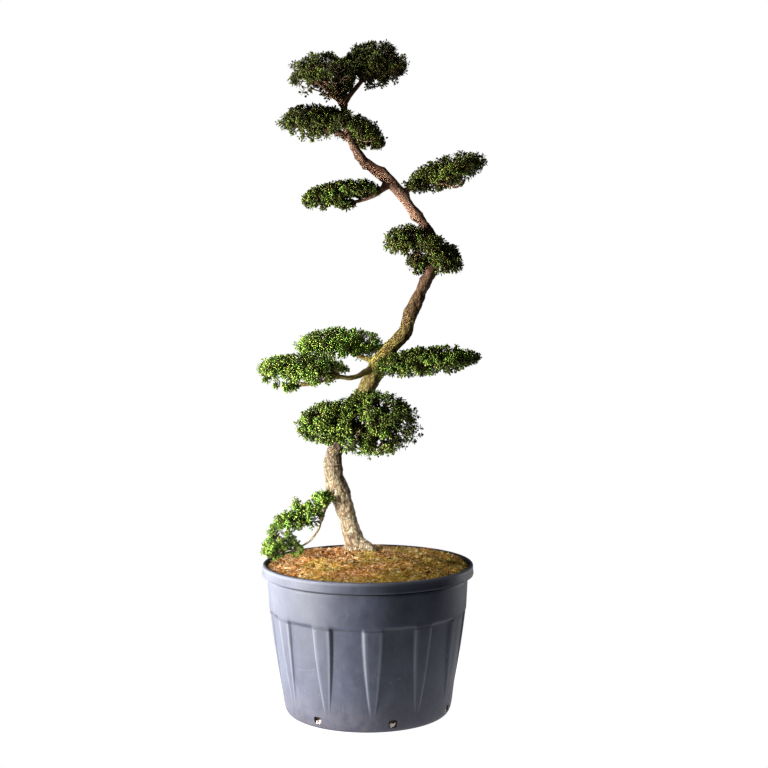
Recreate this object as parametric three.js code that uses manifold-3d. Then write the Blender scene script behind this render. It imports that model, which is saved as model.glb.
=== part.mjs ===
// A tall cloud-pruned evergreen bonsai in a round nursery tub.
// Millimetres, +Z up. The origin is on the floor under the middle of the tub; the front faces -Y.
import * as THREE from "three";
import Module from "manifold-3d";
import { mergeVertices } from "three/addons/utils/BufferGeometryUtils.js";

const wasm = await Module();
wasm.setup();

// Clearance left between two pieces that touch
const GAP = 0.3;

// Tub: a moulded wall with a rolled rim, a plain collar and tapered ribs below it
const TUB_HEIGHT = 562;
const TUB_WALL = 4;
const BASE_RADIUS = 296;
const FOOT_RADIUS = 308;
const FOOT_HEIGHT = 6;
const CORNER_RADIUS = 314.5;
const CORNER_HEIGHT = 20;
const HEEL_RADIUS = 320;
const HEEL_HEIGHT = 46;
const STEP_RADIUS = 361;
const STEP_HEIGHT = 382;
const COLLAR_LOW_RADIUS = 373;
const COLLAR_LOW_HEIGHT = 399;
const COLLAR_TOP_RADIUS = 379;
const RIM_RADIUS = 400;
const RIM_HEIGHT = 41;
const RIM_INNER_RADIUS = 384;
const RIM_ROUNDING = 8;
const RIM_TAPER = 1;
const RIM_UNDERCUT = 2;
const LIP_RADIUS = 380;
const LIP_HEIGHT = 553;
const INSIDE_SIDES = 32;
const RIB_COUNT = 12;
const RIB_POINTS = 5;
const RIB_FIRST_ANGLE = 3;
const RIB_FOOT_HEIGHT = 66;
const RIB_STATIONS = [0, 0.25, 0.6, 1];
const RIB_RISE = 9.5;
const RIB_HALF_WIDTH = 5.8;
const RIB_FOOT_SHARE = 0.31;
const RIB_SPREAD = 1.27;
const RIB_EDGE_SLOPE = 0.9;
const RIB_FOOT_SLOPE = 0.4;
const DRAIN_COUNT = 7;
const DRAIN_FIRST_ANGLE = 16.5;
const DRAIN_MIDDLE = 33;
const DRAIN_WIDTH = 33;
const DRAIN_HEIGHT = 30;
const DRAIN_REACH = 60;
const DRAIN_SIDES = 6;

// Soil: a shallow mound that almost reaches the rim
const SOIL_EDGE_HEIGHT = 550;
const SOIL_CROWN = 40;
const SOIL_LUMP = 3;
const SOIL_RINGS = [0.9, 0.5];

// Trunk: points up its middle as [x, y, z, radius], from under the soil to the fork of the crown
const TRUNK = [
  [-28, 121, 470, 46],
  [-33, 121, 530, 57],
  [-39, 120, 570, 54],
  [-49, 117, 608, 44],
  [-61, 112, 645, 37],
  [-84, 98, 727, 34],
  [-99, 90, 775, 34],
  [-116, 79, 828, 39],
  [-129, 69, 880, 37],
  [-132, 60, 932, 33],
  [-127, 49, 988, 32],
  [-79, 20, 1104, 30],
  [-44, 5, 1160, 29],
  [-8, -10, 1220, 31],
  [23, -21, 1274, 34],
  [47, -28, 1325, 31],
  [76, -31, 1367, 28],
  [113, -30, 1405, 27],
  [143, -28, 1446, 27],
  [157, -25, 1490, 26],
  [197, -10, 1580, 25],
  [240, 11, 1673, 25],
  [244, 20, 1722, 23],
  [239, 24, 1771, 22],
  [223, 21, 1820, 21],
  [155, 5, 1908, 20],
  [118, -5, 1956, 21],
  [78, -13, 1999, 22],
  [30, -18, 2034, 21],
  [-14, -21, 2066, 19],
  [-41, -20, 2104, 17],
  [-62, -16, 2147, 15],
  [-78, -10, 2199, 14],
  [-91, 0, 2288, 15],
  [-95, 3, 2318, 9],
];
const TRUNK_SIDES = 9;
const TRUNK_FLUTE = 0.07;

// Side branches and surface roots, each grown out of the trunk, as [x, y, z, radius]
const BRANCHES = [
  [[-91, 0, 2286, 12], [-56, 10, 2327, 10], [-22, 17, 2368, 9], [22, 20, 2412, 6]],
  [[-90, 0, 2284, 12], [-117, -20, 2316, 10], [-142, -34, 2344, 9], [-172, -40, 2372, 6]],
  [[-64, -15, 2150, 10], [-122, -18, 2176, 9], [-190, -20, 2196, 6]],
  [[80, -12, 1990, 13], [46, -16, 1958, 10], [14, -20, 1936, 8], [-51, -20, 1917, 7], [-110, -20, 1918, 5]],
  [[122, -2, 1950, 13], [169, 0, 1976, 9], [214, 0, 1992, 8], [290, 0, 2016, 6]],
  [[239, 24, 1775, 12], [205, -14, 1778, 8], [166, -46, 1770, 6]],
  [[243, 20, 1722, 12], [268, -18, 1716, 8], [292, -44, 1708, 5]],
  [[42, -24, 1316, 14], [-22, 50, 1338, 10], [-100, 112, 1368, 6]],
  [
    [22, -22, 1288, 15], [-9, -50, 1285, 12], [-34, -70, 1272, 11], [-69, -85, 1265, 10],
    [-110, -95, 1271, 9], [-216, -100, 1286, 5],
  ],
  [[62, -30, 1352, 14], [118, -32, 1324, 10], [228, -22, 1318, 6]],
  [[-100, 34, 1056, 13], [-150, -14, 1086, 6]],
  [[-56, 10, 1142, 13], [-8, -40, 1112, 9], [44, -44, 1096, 6]],
  [
    [-112, 82, 815, 12], [-152, 56, 782, 9], [-178, 38, 718, 7], [-190, 30, 680, 6], [-222, 14, 640, 5],
    [-268, -4, 614, 4],
  ],
  [[-40, 114, 606, 26], [6, 90, 578, 22], [48, 64, 538, 13]],
  [[-60, 126, 602, 22], [-106, 146, 570, 16], [-150, 164, 534, 10]],
  [[-34, 140, 602, 22], [-4, 184, 570, 16], [16, 224, 532, 10]],
];
const BRANCH_SIDES = 6;

// Foliage clouds: each lobe reaches from its middle to its leaf tips by
// reach = [sideways, front to back, up, down], and lean lifts its right side by degrees
const CLOUDS = [
  { name: "foliage_crown_right", lobes: [{ at: [28, 20, 2425], reach: [123, 108, 90, 84], lean: 0 }] },
  {
    name: "foliage_crown_left",
    lobes: [
      { at: [-168, -40, 2373], reach: [125, 108, 87, 84], lean: 0 },
      { at: [-110, -12, 2340], reach: [62, 62, 52, 50], lean: 0 },
    ],
  },
  {
    name: "foliage_upper",
    lobes: [
      { at: [-206, -20, 2206], reach: [116, 105, 68, 66], lean: 0 },
      { at: [-130, -24, 2205], reach: [80, 92, 54, 44], lean: -10 },
      { at: [-52, -26, 2182], reach: [130, 106, 62, 50], lean: -27 },
    ],
  },
  {
    name: "foliage_high_left",
    lobes: [
      { at: [-154, -20, 1937], reach: [91, 96, 48, 46], lean: 14 },
      { at: [-52, -20, 1961], reach: [102, 94, 38, 32], lean: 0 },
    ],
  },
  { name: "foliage_high_right", lobes: [{ at: [291, 0, 2026], reach: [156, 112, 60, 56], lean: 19 }] },
  {
    name: "foliage_middle",
    lobes: [
      { at: [147, -50, 1768], reach: [88, 86, 64, 62], lean: 0 },
      { at: [228, -58, 1752], reach: [86, 66, 52, 50], lean: -25 },
      { at: [299, -32, 1697], reach: [59, 70, 65, 66], lean: 0 },
      { at: [186, 6, 1694], reach: [44, 52, 52, 50], lean: 0 },
    ],
  },
  { name: "foliage_mid_back", lobes: [{ at: [-103, 118, 1375], reach: [172, 124, 73, 70], lean: 0 }] },
  { name: "foliage_mid_left", lobes: [{ at: [-246, -100, 1291], reach: [162, 118, 66, 62], lean: 0 }] },
  { name: "foliage_mid_right", lobes: [{ at: [215, -26, 1322], reach: [207, 124, 56, 54], lean: 5 }] },
  {
    name: "foliage_low",
    lobes: [
      { at: [-149, -10, 1092], reach: [121, 110, 80, 78], lean: 13 },
      { at: [24, -20, 1088], reach: [158, 138, 128, 124], lean: 0 },
    ],
  },
  {
    name: "foliage_hanging",
    lobes: [
      { at: [-176, 46, 790], reach: [54, 44, 42, 42], lean: 0 },
      { at: [-239, 32, 760], reach: [60, 50, 47, 45], lean: 25 },
      { at: [-214, 30, 728], reach: [46, 46, 38, 36], lean: 0 },
      { at: [-292, 14, 716], reach: [57, 52, 48, 48], lean: 0 },
      { at: [-328, 4, 664], reach: [55, 50, 52, 50], lean: 0 },
      { at: [-346, -12, 614], reach: [57, 52, 48, 38], lean: 0 },
      { at: [-272, -10, 612], reach: [58, 52, 30, 26], lean: 0 },
    ],
  },
];

// Leaves are larger than life, so that a few hundred of them cover the clouds
const LEAF_RISE = 24;
const LEAF_LENGTH = 60;
const LEAF_WIDTH = 46;
const LEAF_KEEL = 6;
const LEAF_ROOT = 20;
const LEAF_SPACING = 46;
const LEAF_SHARE_LEAST = 0.45;
const FULL_LEAF_REACH = 230;
const CORE_LUMP = 0.07;
const LEAF_TURN = 1.6;
const LEAF_LIFT = 0.35;
const LEAF_SLOPE = 0.42;
const LEAF_PLACES = 500;
const LOBE_OVERLAP = 0.85;
const GOLDEN_ANGLE = Math.PI * (3 - Math.sqrt(5));

const MATERIALS = {
  tub: { color: 0x5b6170, roughness: 0.6, metalness: 0 },
  soil: { color: 0x8a5a2c, roughness: 1, metalness: 0 },
  bark: { color: 0x7d6448, roughness: 0.9, metalness: 0 },
  leaf: { color: 0x3e6420, roughness: 0.5, metalness: 0 },
};

const radians = THREE.MathUtils.degToRad;

// A repeatable stream of numbers from 0 to 1
function seededRandom(seed) {
  let state = seed;
  return () => {
    state = (state + 0x6d2b79f5) | 0;
    let t = Math.imul(state ^ (state >>> 15), 1 | state);
    t = (t + Math.imul(t ^ (t >>> 7), 61 | t)) ^ t;
    return ((t ^ (t >>> 14)) >>> 0) / 4294967296;
  };
}

function solidOf(geometry) {
  const bare = geometry.clone();
  bare.deleteAttribute("normal");
  bare.deleteAttribute("uv");
  const merged = mergeVertices(bare, 1e-3);
  return new wasm.Manifold(
    new wasm.Mesh({
      numProp: 3,
      vertProperties: merged.attributes.position.array,
      triVerts: new Uint32Array(merged.index.array),
    }),
  );
}

function geometryOf(solid) {
  const mesh = solid.getMesh();
  const geometry = new THREE.BufferGeometry();
  geometry.setAttribute("position", new THREE.BufferAttribute(mesh.vertProperties, 3));
  geometry.setIndex(new THREE.BufferAttribute(mesh.triVerts, 1));
  geometry.computeVertexNormals();
  return geometry;
}

// The largest body of a solid, with its scraps dropped and its sealed hollows filled
function mainBody(solid) {
  return solid.decompose().reduce((best, body) => (body.volume() > best.volume() ? body : best));
}

// A closed skin over rings of equal length, each turning left round the way from first to last,
// with a centre point that closes each end
function skin(rings, firstCentre, lastCentre) {
  const sides = rings[0].length;
  const points = [...rings.flat(), firstCentre, lastCentre];
  const first = points.length - 2;
  const last = points.length - 1;
  const lastRing = (rings.length - 1) * sides;
  const index = [];
  for (let i = 0; i < sides; i++) {
    const j = (i + 1) % sides;
    index.push(first, j, i);
    for (let ring = 0; ring < rings.length - 1; ring++) {
      const low = ring * sides;
      const high = low + sides;
      index.push(low + i, low + j, high + j);
      index.push(low + i, high + j, high + i);
    }
    index.push(last, lastRing + i, lastRing + j);
  }
  const geometry = new THREE.BufferGeometry().setFromPoints(points);
  geometry.setIndex(index);
  return geometry;
}

function polar(radius, degrees, height) {
  // 0 degrees faces the front, -Y, and the angle grows towards +X
  const angle = radians(degrees - 90);
  return new THREE.Vector3(radius * Math.cos(angle), radius * Math.sin(angle), height);
}

function roundRing(radius, height, sides, firstAngle = 0) {
  return Array.from({ length: sides }, (_, i) => polar(radius, firstAngle + (i * 360) / sides, height));
}

function plainRing(radius, height) {
  const spacing = 360 / (RIB_COUNT * RIB_POINTS);
  return roundRing(radius, height, RIB_COUNT * RIB_POINTS, RIB_FIRST_ANGLE - 1.5 * spacing);
}

// Five points for each rib: the two feet and two tops of its edges, and the middle of the bay.
// The share runs from 0 at the foot of the ribs to 1 under the collar, and the ribs widen in a curve
function ribbedRing(share) {
  const height = THREE.MathUtils.lerp(RIB_FOOT_HEIGHT, STEP_HEIGHT, share);
  const radius = THREE.MathUtils.mapLinear(height, HEEL_HEIGHT, STEP_HEIGHT, HEEL_RADIUS, STEP_RADIUS);
  const bend = RIB_SPREAD * share + (1 - RIB_FOOT_SHARE - RIB_SPREAD) * share * share;
  const half = RIB_HALF_WIDTH * (RIB_FOOT_SHARE + bend);
  const slope = THREE.MathUtils.lerp(RIB_FOOT_SLOPE, RIB_EDGE_SLOPE, share);
  const top = radius + RIB_RISE * (2 - share) * share;
  const pitch = 360 / RIB_COUNT;
  const ring = [];
  for (let rib = 0; rib < RIB_COUNT; rib++) {
    const centre = RIB_FIRST_ANGLE + rib * pitch;
    ring.push(polar(radius, centre - half - slope, height));
    ring.push(polar(top, centre - half + slope, height));
    ring.push(polar(top, centre + half - slope, height));
    ring.push(polar(radius, centre + half + slope, height));
    ring.push(polar(radius, centre + pitch / 2, height));
  }
  return ring;
}

// The inside of the tub from its floor to its lip, as [radius, height]
const TUB_INSIDE = [
  [BASE_RADIUS - TUB_WALL, TUB_WALL],
  [HEEL_RADIUS - TUB_WALL, HEEL_HEIGHT],
  [STEP_RADIUS - TUB_WALL, STEP_HEIGHT - TUB_WALL],
  [COLLAR_LOW_RADIUS - TUB_WALL, COLLAR_LOW_HEIGHT - TUB_WALL / 2],
  [LIP_RADIUS, LIP_HEIGHT],
];

function tubSolid() {
  const rimFoot = TUB_HEIGHT - RIM_HEIGHT;
  const rings = [
    plainRing(BASE_RADIUS, 0),
    plainRing(FOOT_RADIUS, FOOT_HEIGHT),
    plainRing(CORNER_RADIUS, CORNER_HEIGHT),
    plainRing(HEEL_RADIUS, HEEL_HEIGHT),
    ...RIB_STATIONS.map(ribbedRing),
    plainRing(COLLAR_LOW_RADIUS, COLLAR_LOW_HEIGHT),
    plainRing(COLLAR_TOP_RADIUS, rimFoot - RIM_UNDERCUT),
    plainRing(RIM_RADIUS - RIM_TAPER, rimFoot),
    plainRing(RIM_RADIUS, TUB_HEIGHT - RIM_ROUNDING),
    plainRing(RIM_RADIUS - RIM_ROUNDING / 2, TUB_HEIGHT),
  ];
  const outside = solidOf(skin(rings, new THREE.Vector3(0, 0, 0), new THREE.Vector3(0, 0, TUB_HEIGHT)));
  const above = TUB_HEIGHT + RIM_HEIGHT;
  const profile = [...TUB_INSIDE, [RIM_INNER_RADIUS, TUB_HEIGHT], [RIM_INNER_RADIUS, above]];
  const hollow = profile.map(([radius, height]) => roundRing(radius, height, INSIDE_SIDES));
  const inside = skin(hollow, new THREE.Vector3(0, 0, TUB_WALL), new THREE.Vector3(0, 0, above));
  const body = outside.subtract(solidOf(inside));
  const drains = [];
  for (let i = 0; i < DRAIN_COUNT; i++) {
    const angle = DRAIN_FIRST_ANGLE + (i * 360) / DRAIN_COUNT;
    const drain = new THREE.CylinderGeometry(DRAIN_WIDTH / 2, DRAIN_WIDTH / 2, DRAIN_REACH, DRAIN_SIDES);
    drain.scale(1, 1, DRAIN_HEIGHT / DRAIN_WIDTH);
    drain.rotateZ(radians(angle));
    const place = polar(CORNER_RADIUS, angle, DRAIN_MIDDLE);
    drain.translate(place.x, place.y, place.z);
    drains.push(solidOf(drain));
  }
  return body.subtract(wasm.Manifold.union(drains));
}

function soilHeight(x, y) {
  const share = Math.hypot(x, y) / RIM_INNER_RADIUS;
  const lumps = Math.sin(x / 37 + 1) * Math.cos(y / 43) + Math.sin((x + y) / 24);
  return SOIL_EDGE_HEIGHT + SOIL_CROWN * (1 - share * share) + SOIL_LUMP * lumps;
}

function soilRing(radius, height) {
  return roundRing(radius, height, INSIDE_SIDES);
}

function soilSolid(wood) {
  const edge = LIP_RADIUS - 2 * GAP;
  const wall = TUB_INSIDE.slice(0, -1).map(([radius, height]) => soilRing(radius - GAP, height + GAP));
  wall.push(soilRing(edge, SOIL_EDGE_HEIGHT));
  const top = SOIL_RINGS.map((share) => soilRing(edge * share, 0).map((p) => p.setZ(soilHeight(p.x, p.y))));
  const floor = new THREE.Vector3(0, 0, TUB_WALL + GAP);
  const crown = new THREE.Vector3(0, 0, soilHeight(0, 0));
  return mainBody(solidOf(skin([...wall, ...top], floor, crown)).subtract(wood));
}

// A tapered limb along points of [x, y, z, radius]; grow makes it that much thicker all round
function limb(points, sides, flute, grow) {
  const curve = new THREE.CatmullRomCurve3(points.map(([x, y, z]) => new THREE.Vector3(x, y, z)));
  curve.curveType = "catmullrom";
  const last = points.length - 1;
  const across = new THREE.Vector3(1, 0, 0);
  const rings = [];
  for (let i = 0; i <= last; i++) {
    const way = curve.getTangent(i / last);
    const centre = curve.getPoint(i / last);
    if (i === 0) centre.addScaledVector(way, -grow);
    if (i === last) centre.addScaledVector(way, grow);
    across.addScaledVector(way, -across.dot(way)).normalize();
    const other = way.clone().cross(across);
    const radius = points[i][3];
    const ring = [];
    for (let k = 0; k < sides; k++) {
      const angle = (2 * Math.PI * k) / sides;
      const wave = 1 + flute * Math.sin(3 * angle + i) * Math.cos(0.7 * i);
      const reach = radius * wave + grow;
      const point = centre.clone().addScaledVector(across, reach * Math.cos(angle));
      ring.push(point.addScaledVector(other, reach * Math.sin(angle)));
    }
    rings.push(ring);
  }
  const end = (ring) => ring.reduce((sum, p) => sum.add(p), new THREE.Vector3()).divideScalar(sides);
  return solidOf(skin(rings, end(rings[0]), end(rings[last])));
}

function woodSolid(grow) {
  const branches = BRANCHES.map((points) => limb(points, BRANCH_SIDES, 0, grow));
  return mainBody(wasm.Manifold.union([limb(TRUNK, TRUNK_SIDES, TRUNK_FLUTE, grow), ...branches]));
}

// Small lobes carry smaller leaves
function leafSize(lobe) {
  return Math.min(1, LEAF_SHARE_LEAST + lobe.reach[0] / FULL_LEAF_REACH);
}

// A point of a lobe's core in the unit direction d
function lobePoint(lobe, d) {
  const inset = LEAF_RISE * leafSize(lobe);
  const [side, depth, up, down] = lobe.reach;
  const lump = 1 + CORE_LUMP * Math.sin(5 * d.x + lobe.at[2]) * Math.cos(4 * d.y + 3 * d.z);
  const height = d.z > 0 ? up : down;
  const p = new THREE.Vector3(d.x * (side - inset), d.y * (depth - inset), d.z * (height - inset));
  p.multiplyScalar(lump);
  p.applyAxisAngle(new THREE.Vector3(0, 1, 0), -radians(lobe.lean));
  return p.add(new THREE.Vector3(...lobe.at));
}

function lobeNormal(lobe, d) {
  const [side, depth, up, down] = lobe.reach;
  const n = new THREE.Vector3(d.x / side, d.y / depth, d.z / (d.z > 0 ? up : down)).normalize();
  return n.applyAxisAngle(new THREE.Vector3(0, 1, 0), -radians(lobe.lean));
}

// How far out a point lies in a lobe: 1 at the leaf tips
function lobeShare(lobe, point) {
  const p = point.clone().sub(new THREE.Vector3(...lobe.at));
  p.applyAxisAngle(new THREE.Vector3(0, 1, 0), radians(lobe.lean));
  const [side, depth, up, down] = lobe.reach;
  return Math.hypot(p.x / side, p.y / depth, p.z / (p.z > 0 ? up : down));
}

function lobeCore(lobe) {
  const core = new THREE.SphereGeometry(1, 9, 6).rotateX(Math.PI / 2);
  const place = core.attributes.position;
  for (let i = 0; i < place.count; i++) {
    const d = new THREE.Vector3().fromBufferAttribute(place, i);
    const p = lobePoint(lobe, d);
    place.setXYZ(i, p.x, p.y, p.z);
  }
  return solidOf(core);
}

// A keeled blade, widest past its middle, whose root is sunk below the point it grows from
function leafSolid(point, normal, way, size) {
  const across = way.clone().cross(normal).normalize();
  const face = across.clone().cross(way);
  const along = (share) => point.clone().addScaledVector(way, LEAF_LENGTH * size * share);
  const half = (LEAF_WIDTH * size) / 2;
  const corners = [
    point.clone().addScaledVector(way, -LEAF_ROOT),
    along(0.5).addScaledVector(across, -half).addScaledVector(face, -LEAF_KEEL),
    along(1),
    along(0.5).addScaledVector(across, half).addScaledVector(face, -LEAF_KEEL),
  ];
  const blade = new THREE.BufferGeometry().setFromPoints(corners);
  blade.setIndex([0, 2, 1, 0, 3, 2, 0, 1, 3, 1, 2, 3]);
  return solidOf(blade);
}

function cloudSolid(cloud, seed, wood) {
  const random = seededRandom(seed);
  const parts = cloud.lobes.map(lobeCore);
  const taken = [];
  cloud.lobes.forEach((lobe) => {
    const others = cloud.lobes.filter((other) => other !== lobe);
    const size = leafSize(lobe);
    for (let i = 0; i < LEAF_PLACES; i++) {
      const z = 1 - (2 * (i + 0.5)) / LEAF_PLACES;
      const round = Math.sqrt(1 - z * z);
      const d = new THREE.Vector3(round * Math.cos(i * GOLDEN_ANGLE), round * Math.sin(i * GOLDEN_ANGLE), z);
      const point = lobePoint(lobe, d);
      if (taken.some((p) => p.distanceTo(point) < LEAF_SPACING * Math.sqrt(size))) continue;
      if (others.some((other) => lobeShare(other, point) < LOBE_OVERLAP)) continue;
      taken.push(point);
      const normal = lobeNormal(lobe, d);
      // The blade leans outwards and a little upwards, turned by chance
      const way = new THREE.Vector3(d.x, d.y, LEAF_LIFT).addScaledVector(normal, -normal.dot(d));
      way.applyAxisAngle(normal, (random() - 0.5) * LEAF_TURN);
      way.addScaledVector(normal, -way.dot(normal)).normalize();
      way.addScaledVector(normal, LEAF_SLOPE + LEAF_SLOPE * random()).normalize();
      parts.push(leafSolid(point, normal, way, size * (0.85 + 0.3 * random())));
    }
  });
  return mainBody(mainBody(wasm.Manifold.union(parts)).subtract(wood));
}

// Two neighbouring clouds end either side of the plane midway between them
function partClouds(solids, first, second) {
  const a = new THREE.Vector3(...CLOUDS.find((c) => c.name === first).lobes[0].at);
  const b = new THREE.Vector3(...CLOUDS.find((c) => c.name === second).lobes[0].at);
  const way = b.clone().sub(a).normalize();
  const middle = a.add(b).multiplyScalar(0.5).dot(way);
  solids.set(first, mainBody(solids.get(first).trimByPlane(way.clone().negate().toArray(), GAP - middle)));
  solids.set(second, mainBody(solids.get(second).trimByPlane(way.toArray(), middle + GAP)));
}

function node(name, solid, material) {
  const mesh = new THREE.Mesh(geometryOf(solid), new THREE.MeshStandardMaterial(MATERIALS[material]));
  mesh.name = name;
  return mesh;
}

const woodClearance = woodSolid(1.5 * GAP);
const clouds = new Map(CLOUDS.map((cloud, i) => [cloud.name, cloudSolid(cloud, i + 1, woodClearance)]));
partClouds(clouds, "foliage_crown_left", "foliage_crown_right");
partClouds(clouds, "foliage_mid_left", "foliage_mid_back");

const group = new THREE.Group();
group.add(node("tub", tubSolid(), "tub"));
group.add(node("soil", soilSolid(woodClearance), "soil"));
group.add(node("trunk", woodSolid(0), "bark"));
clouds.forEach((solid, name) => group.add(node(name, solid, "leaf")));

export default group;
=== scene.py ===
# A tall cloud-pruned evergreen bonsai in a round nursery tub, dressed round its solids.
# Tables are in millimetres. Meshes, lamps and the camera are in metres. +Z is up and the front faces -Y.
import itertools
import math

import bpy
import numpy as np
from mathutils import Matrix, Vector


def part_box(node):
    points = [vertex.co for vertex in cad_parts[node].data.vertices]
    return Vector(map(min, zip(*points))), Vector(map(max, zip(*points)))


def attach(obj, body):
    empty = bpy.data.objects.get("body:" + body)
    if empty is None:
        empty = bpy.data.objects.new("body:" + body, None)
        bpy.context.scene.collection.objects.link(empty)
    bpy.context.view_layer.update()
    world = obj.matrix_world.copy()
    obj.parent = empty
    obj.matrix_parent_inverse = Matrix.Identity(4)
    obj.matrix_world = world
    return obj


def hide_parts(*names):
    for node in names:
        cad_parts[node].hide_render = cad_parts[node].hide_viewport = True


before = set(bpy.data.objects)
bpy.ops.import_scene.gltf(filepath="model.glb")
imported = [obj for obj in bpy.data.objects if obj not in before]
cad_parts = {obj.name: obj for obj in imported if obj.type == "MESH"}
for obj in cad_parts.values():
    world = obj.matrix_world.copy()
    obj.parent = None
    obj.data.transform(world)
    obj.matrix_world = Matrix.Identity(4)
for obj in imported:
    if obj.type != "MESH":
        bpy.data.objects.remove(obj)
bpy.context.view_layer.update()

# The tub's packed height gives the size of one millimetre of the tables
TUB_HEIGHT = 562
MM = (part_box("tub")[1].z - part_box("tub")[0].z) / TUB_HEIGHT
BODY = "root"
GOLDEN_ANGLE = math.pi * (3 - math.sqrt(5))

# Tub: the outside from the foot to the step under the collar, then the collar and the rim
TUB_WALL = 4
BASE_RADIUS = 296
CORNER_RADIUS = 314.5
CORNER_HEIGHT = 20
HEEL_RADIUS = 320
HEEL_HEIGHT = 46
STEP_RADIUS = 361
STEP_HEIGHT = 382
COLLAR_LOW_RADIUS = 373
COLLAR_LOW_HEIGHT = 399
COLLAR_FOOT = 401
COLLAR_TOP_RADIUS = 379
RIM_RADIUS = 400
RIM_FOOT = 521
RIM_ROUNDING = 8
LIP_RADIUS = 380
LIP_HEIGHT = 553
RIB_COUNT = 12
RIB_PITCH = 360 / RIB_COUNT
RIB_FOOT_HEIGHT = 66
RIB_FIRST_ANGLE = 3
RIB_RISE = 9.5
RIB_HALF_WIDTH = 5.8
RIB_FOOT_SHARE = 0.31
RIB_SPREAD = 1.27
RIB_EDGE = 1.0
RIB_FOOT_EDGE = 0.45
DRAIN_COUNT = 7
DRAIN_PITCH = 360 / DRAIN_COUNT
DRAIN_FIRST_ANGLE = 16.5
DRAIN_MIDDLE = 33
DRAIN_WIDTH = 33
DRAIN_HEIGHT = 30
DRAIN_PLUG = (265, 350)
DRAIN_ROOTS = 22
DRAIN_ROOT_RADIUS = (0.9, 2.4)
SHARP_DEGREES = 38
WALL_SWAY = 0.0011
WALL_SWAY_SIZE = 130

# Soil
SOIL_GAP = 0.6
SOIL_EDGE_HEIGHT = 550
SOIL_CROWN = 40
SOIL_DOME_RADIUS = 384
SOIL_LUMP = 3
SOIL_SINK = 2
SOIL_RADIUS = LIP_RADIUS - SOIL_GAP
SOIL_RINGS = 64
SOIL_SIDE = [(372.5, 500), (367, 400), (355, 379), (315, 46), (291, 5)]
CHIPS = 5200
CHIP_WIDTH = (0.18, 0.55)
CHIP_THICKNESS = (1.0, 3.0)
CHIP_LIFT = (-0.8, 3.6)
FIBRES = 620
FIBRE_STEP = (5, 11)
FIBRE_RADIUS = (0.45, 0.9)
TUFTS = 330
TUFT_BLADES = 5
TUFT_SPREAD = 6
BLADE_RADIUS = (0.45, 0.8)

# Trunk, surface roots and branches as [x, y, z, radius]
TRUNK = [
    (-28, 121, 510, 54), (-33, 121, 530, 57), (-39, 120, 570, 54), (-49, 117, 608, 44),
    (-61, 112, 645, 37), (-84, 98, 727, 34), (-99, 90, 775, 34), (-116, 79, 828, 39),
    (-129, 69, 880, 37), (-132, 60, 932, 33), (-127, 49, 988, 32), (-79, 20, 1104, 30),
    (-44, 5, 1160, 29), (-8, -10, 1220, 31), (23, -21, 1274, 34), (47, -28, 1325, 31),
    (76, -31, 1367, 28), (113, -30, 1405, 27), (143, -28, 1446, 27), (157, -25, 1490, 26),
    (197, -10, 1580, 25), (240, 11, 1673, 25), (244, 20, 1722, 23), (239, 24, 1771, 22),
    (223, 21, 1820, 21), (155, 5, 1908, 20), (118, -5, 1956, 21), (78, -13, 1999, 22),
    (30, -18, 2034, 21), (-14, -21, 2066, 19), (-41, -20, 2104, 17), (-62, -16, 2147, 15),
    (-78, -10, 2199, 14), (-91, 0, 2288, 15), (-95, 3, 2318, 9),
]
ROOTS = [
    [(-34, 112, 618, 28), (12, 90, 588, 24), (52, 66, 548, 15)],
    [(-60, 126, 602, 22), (-106, 146, 570, 16), (-150, 164, 534, 10)],
    [(-34, 140, 602, 22), (-4, 184, 570, 16), (16, 224, 532, 10)],
]

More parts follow.
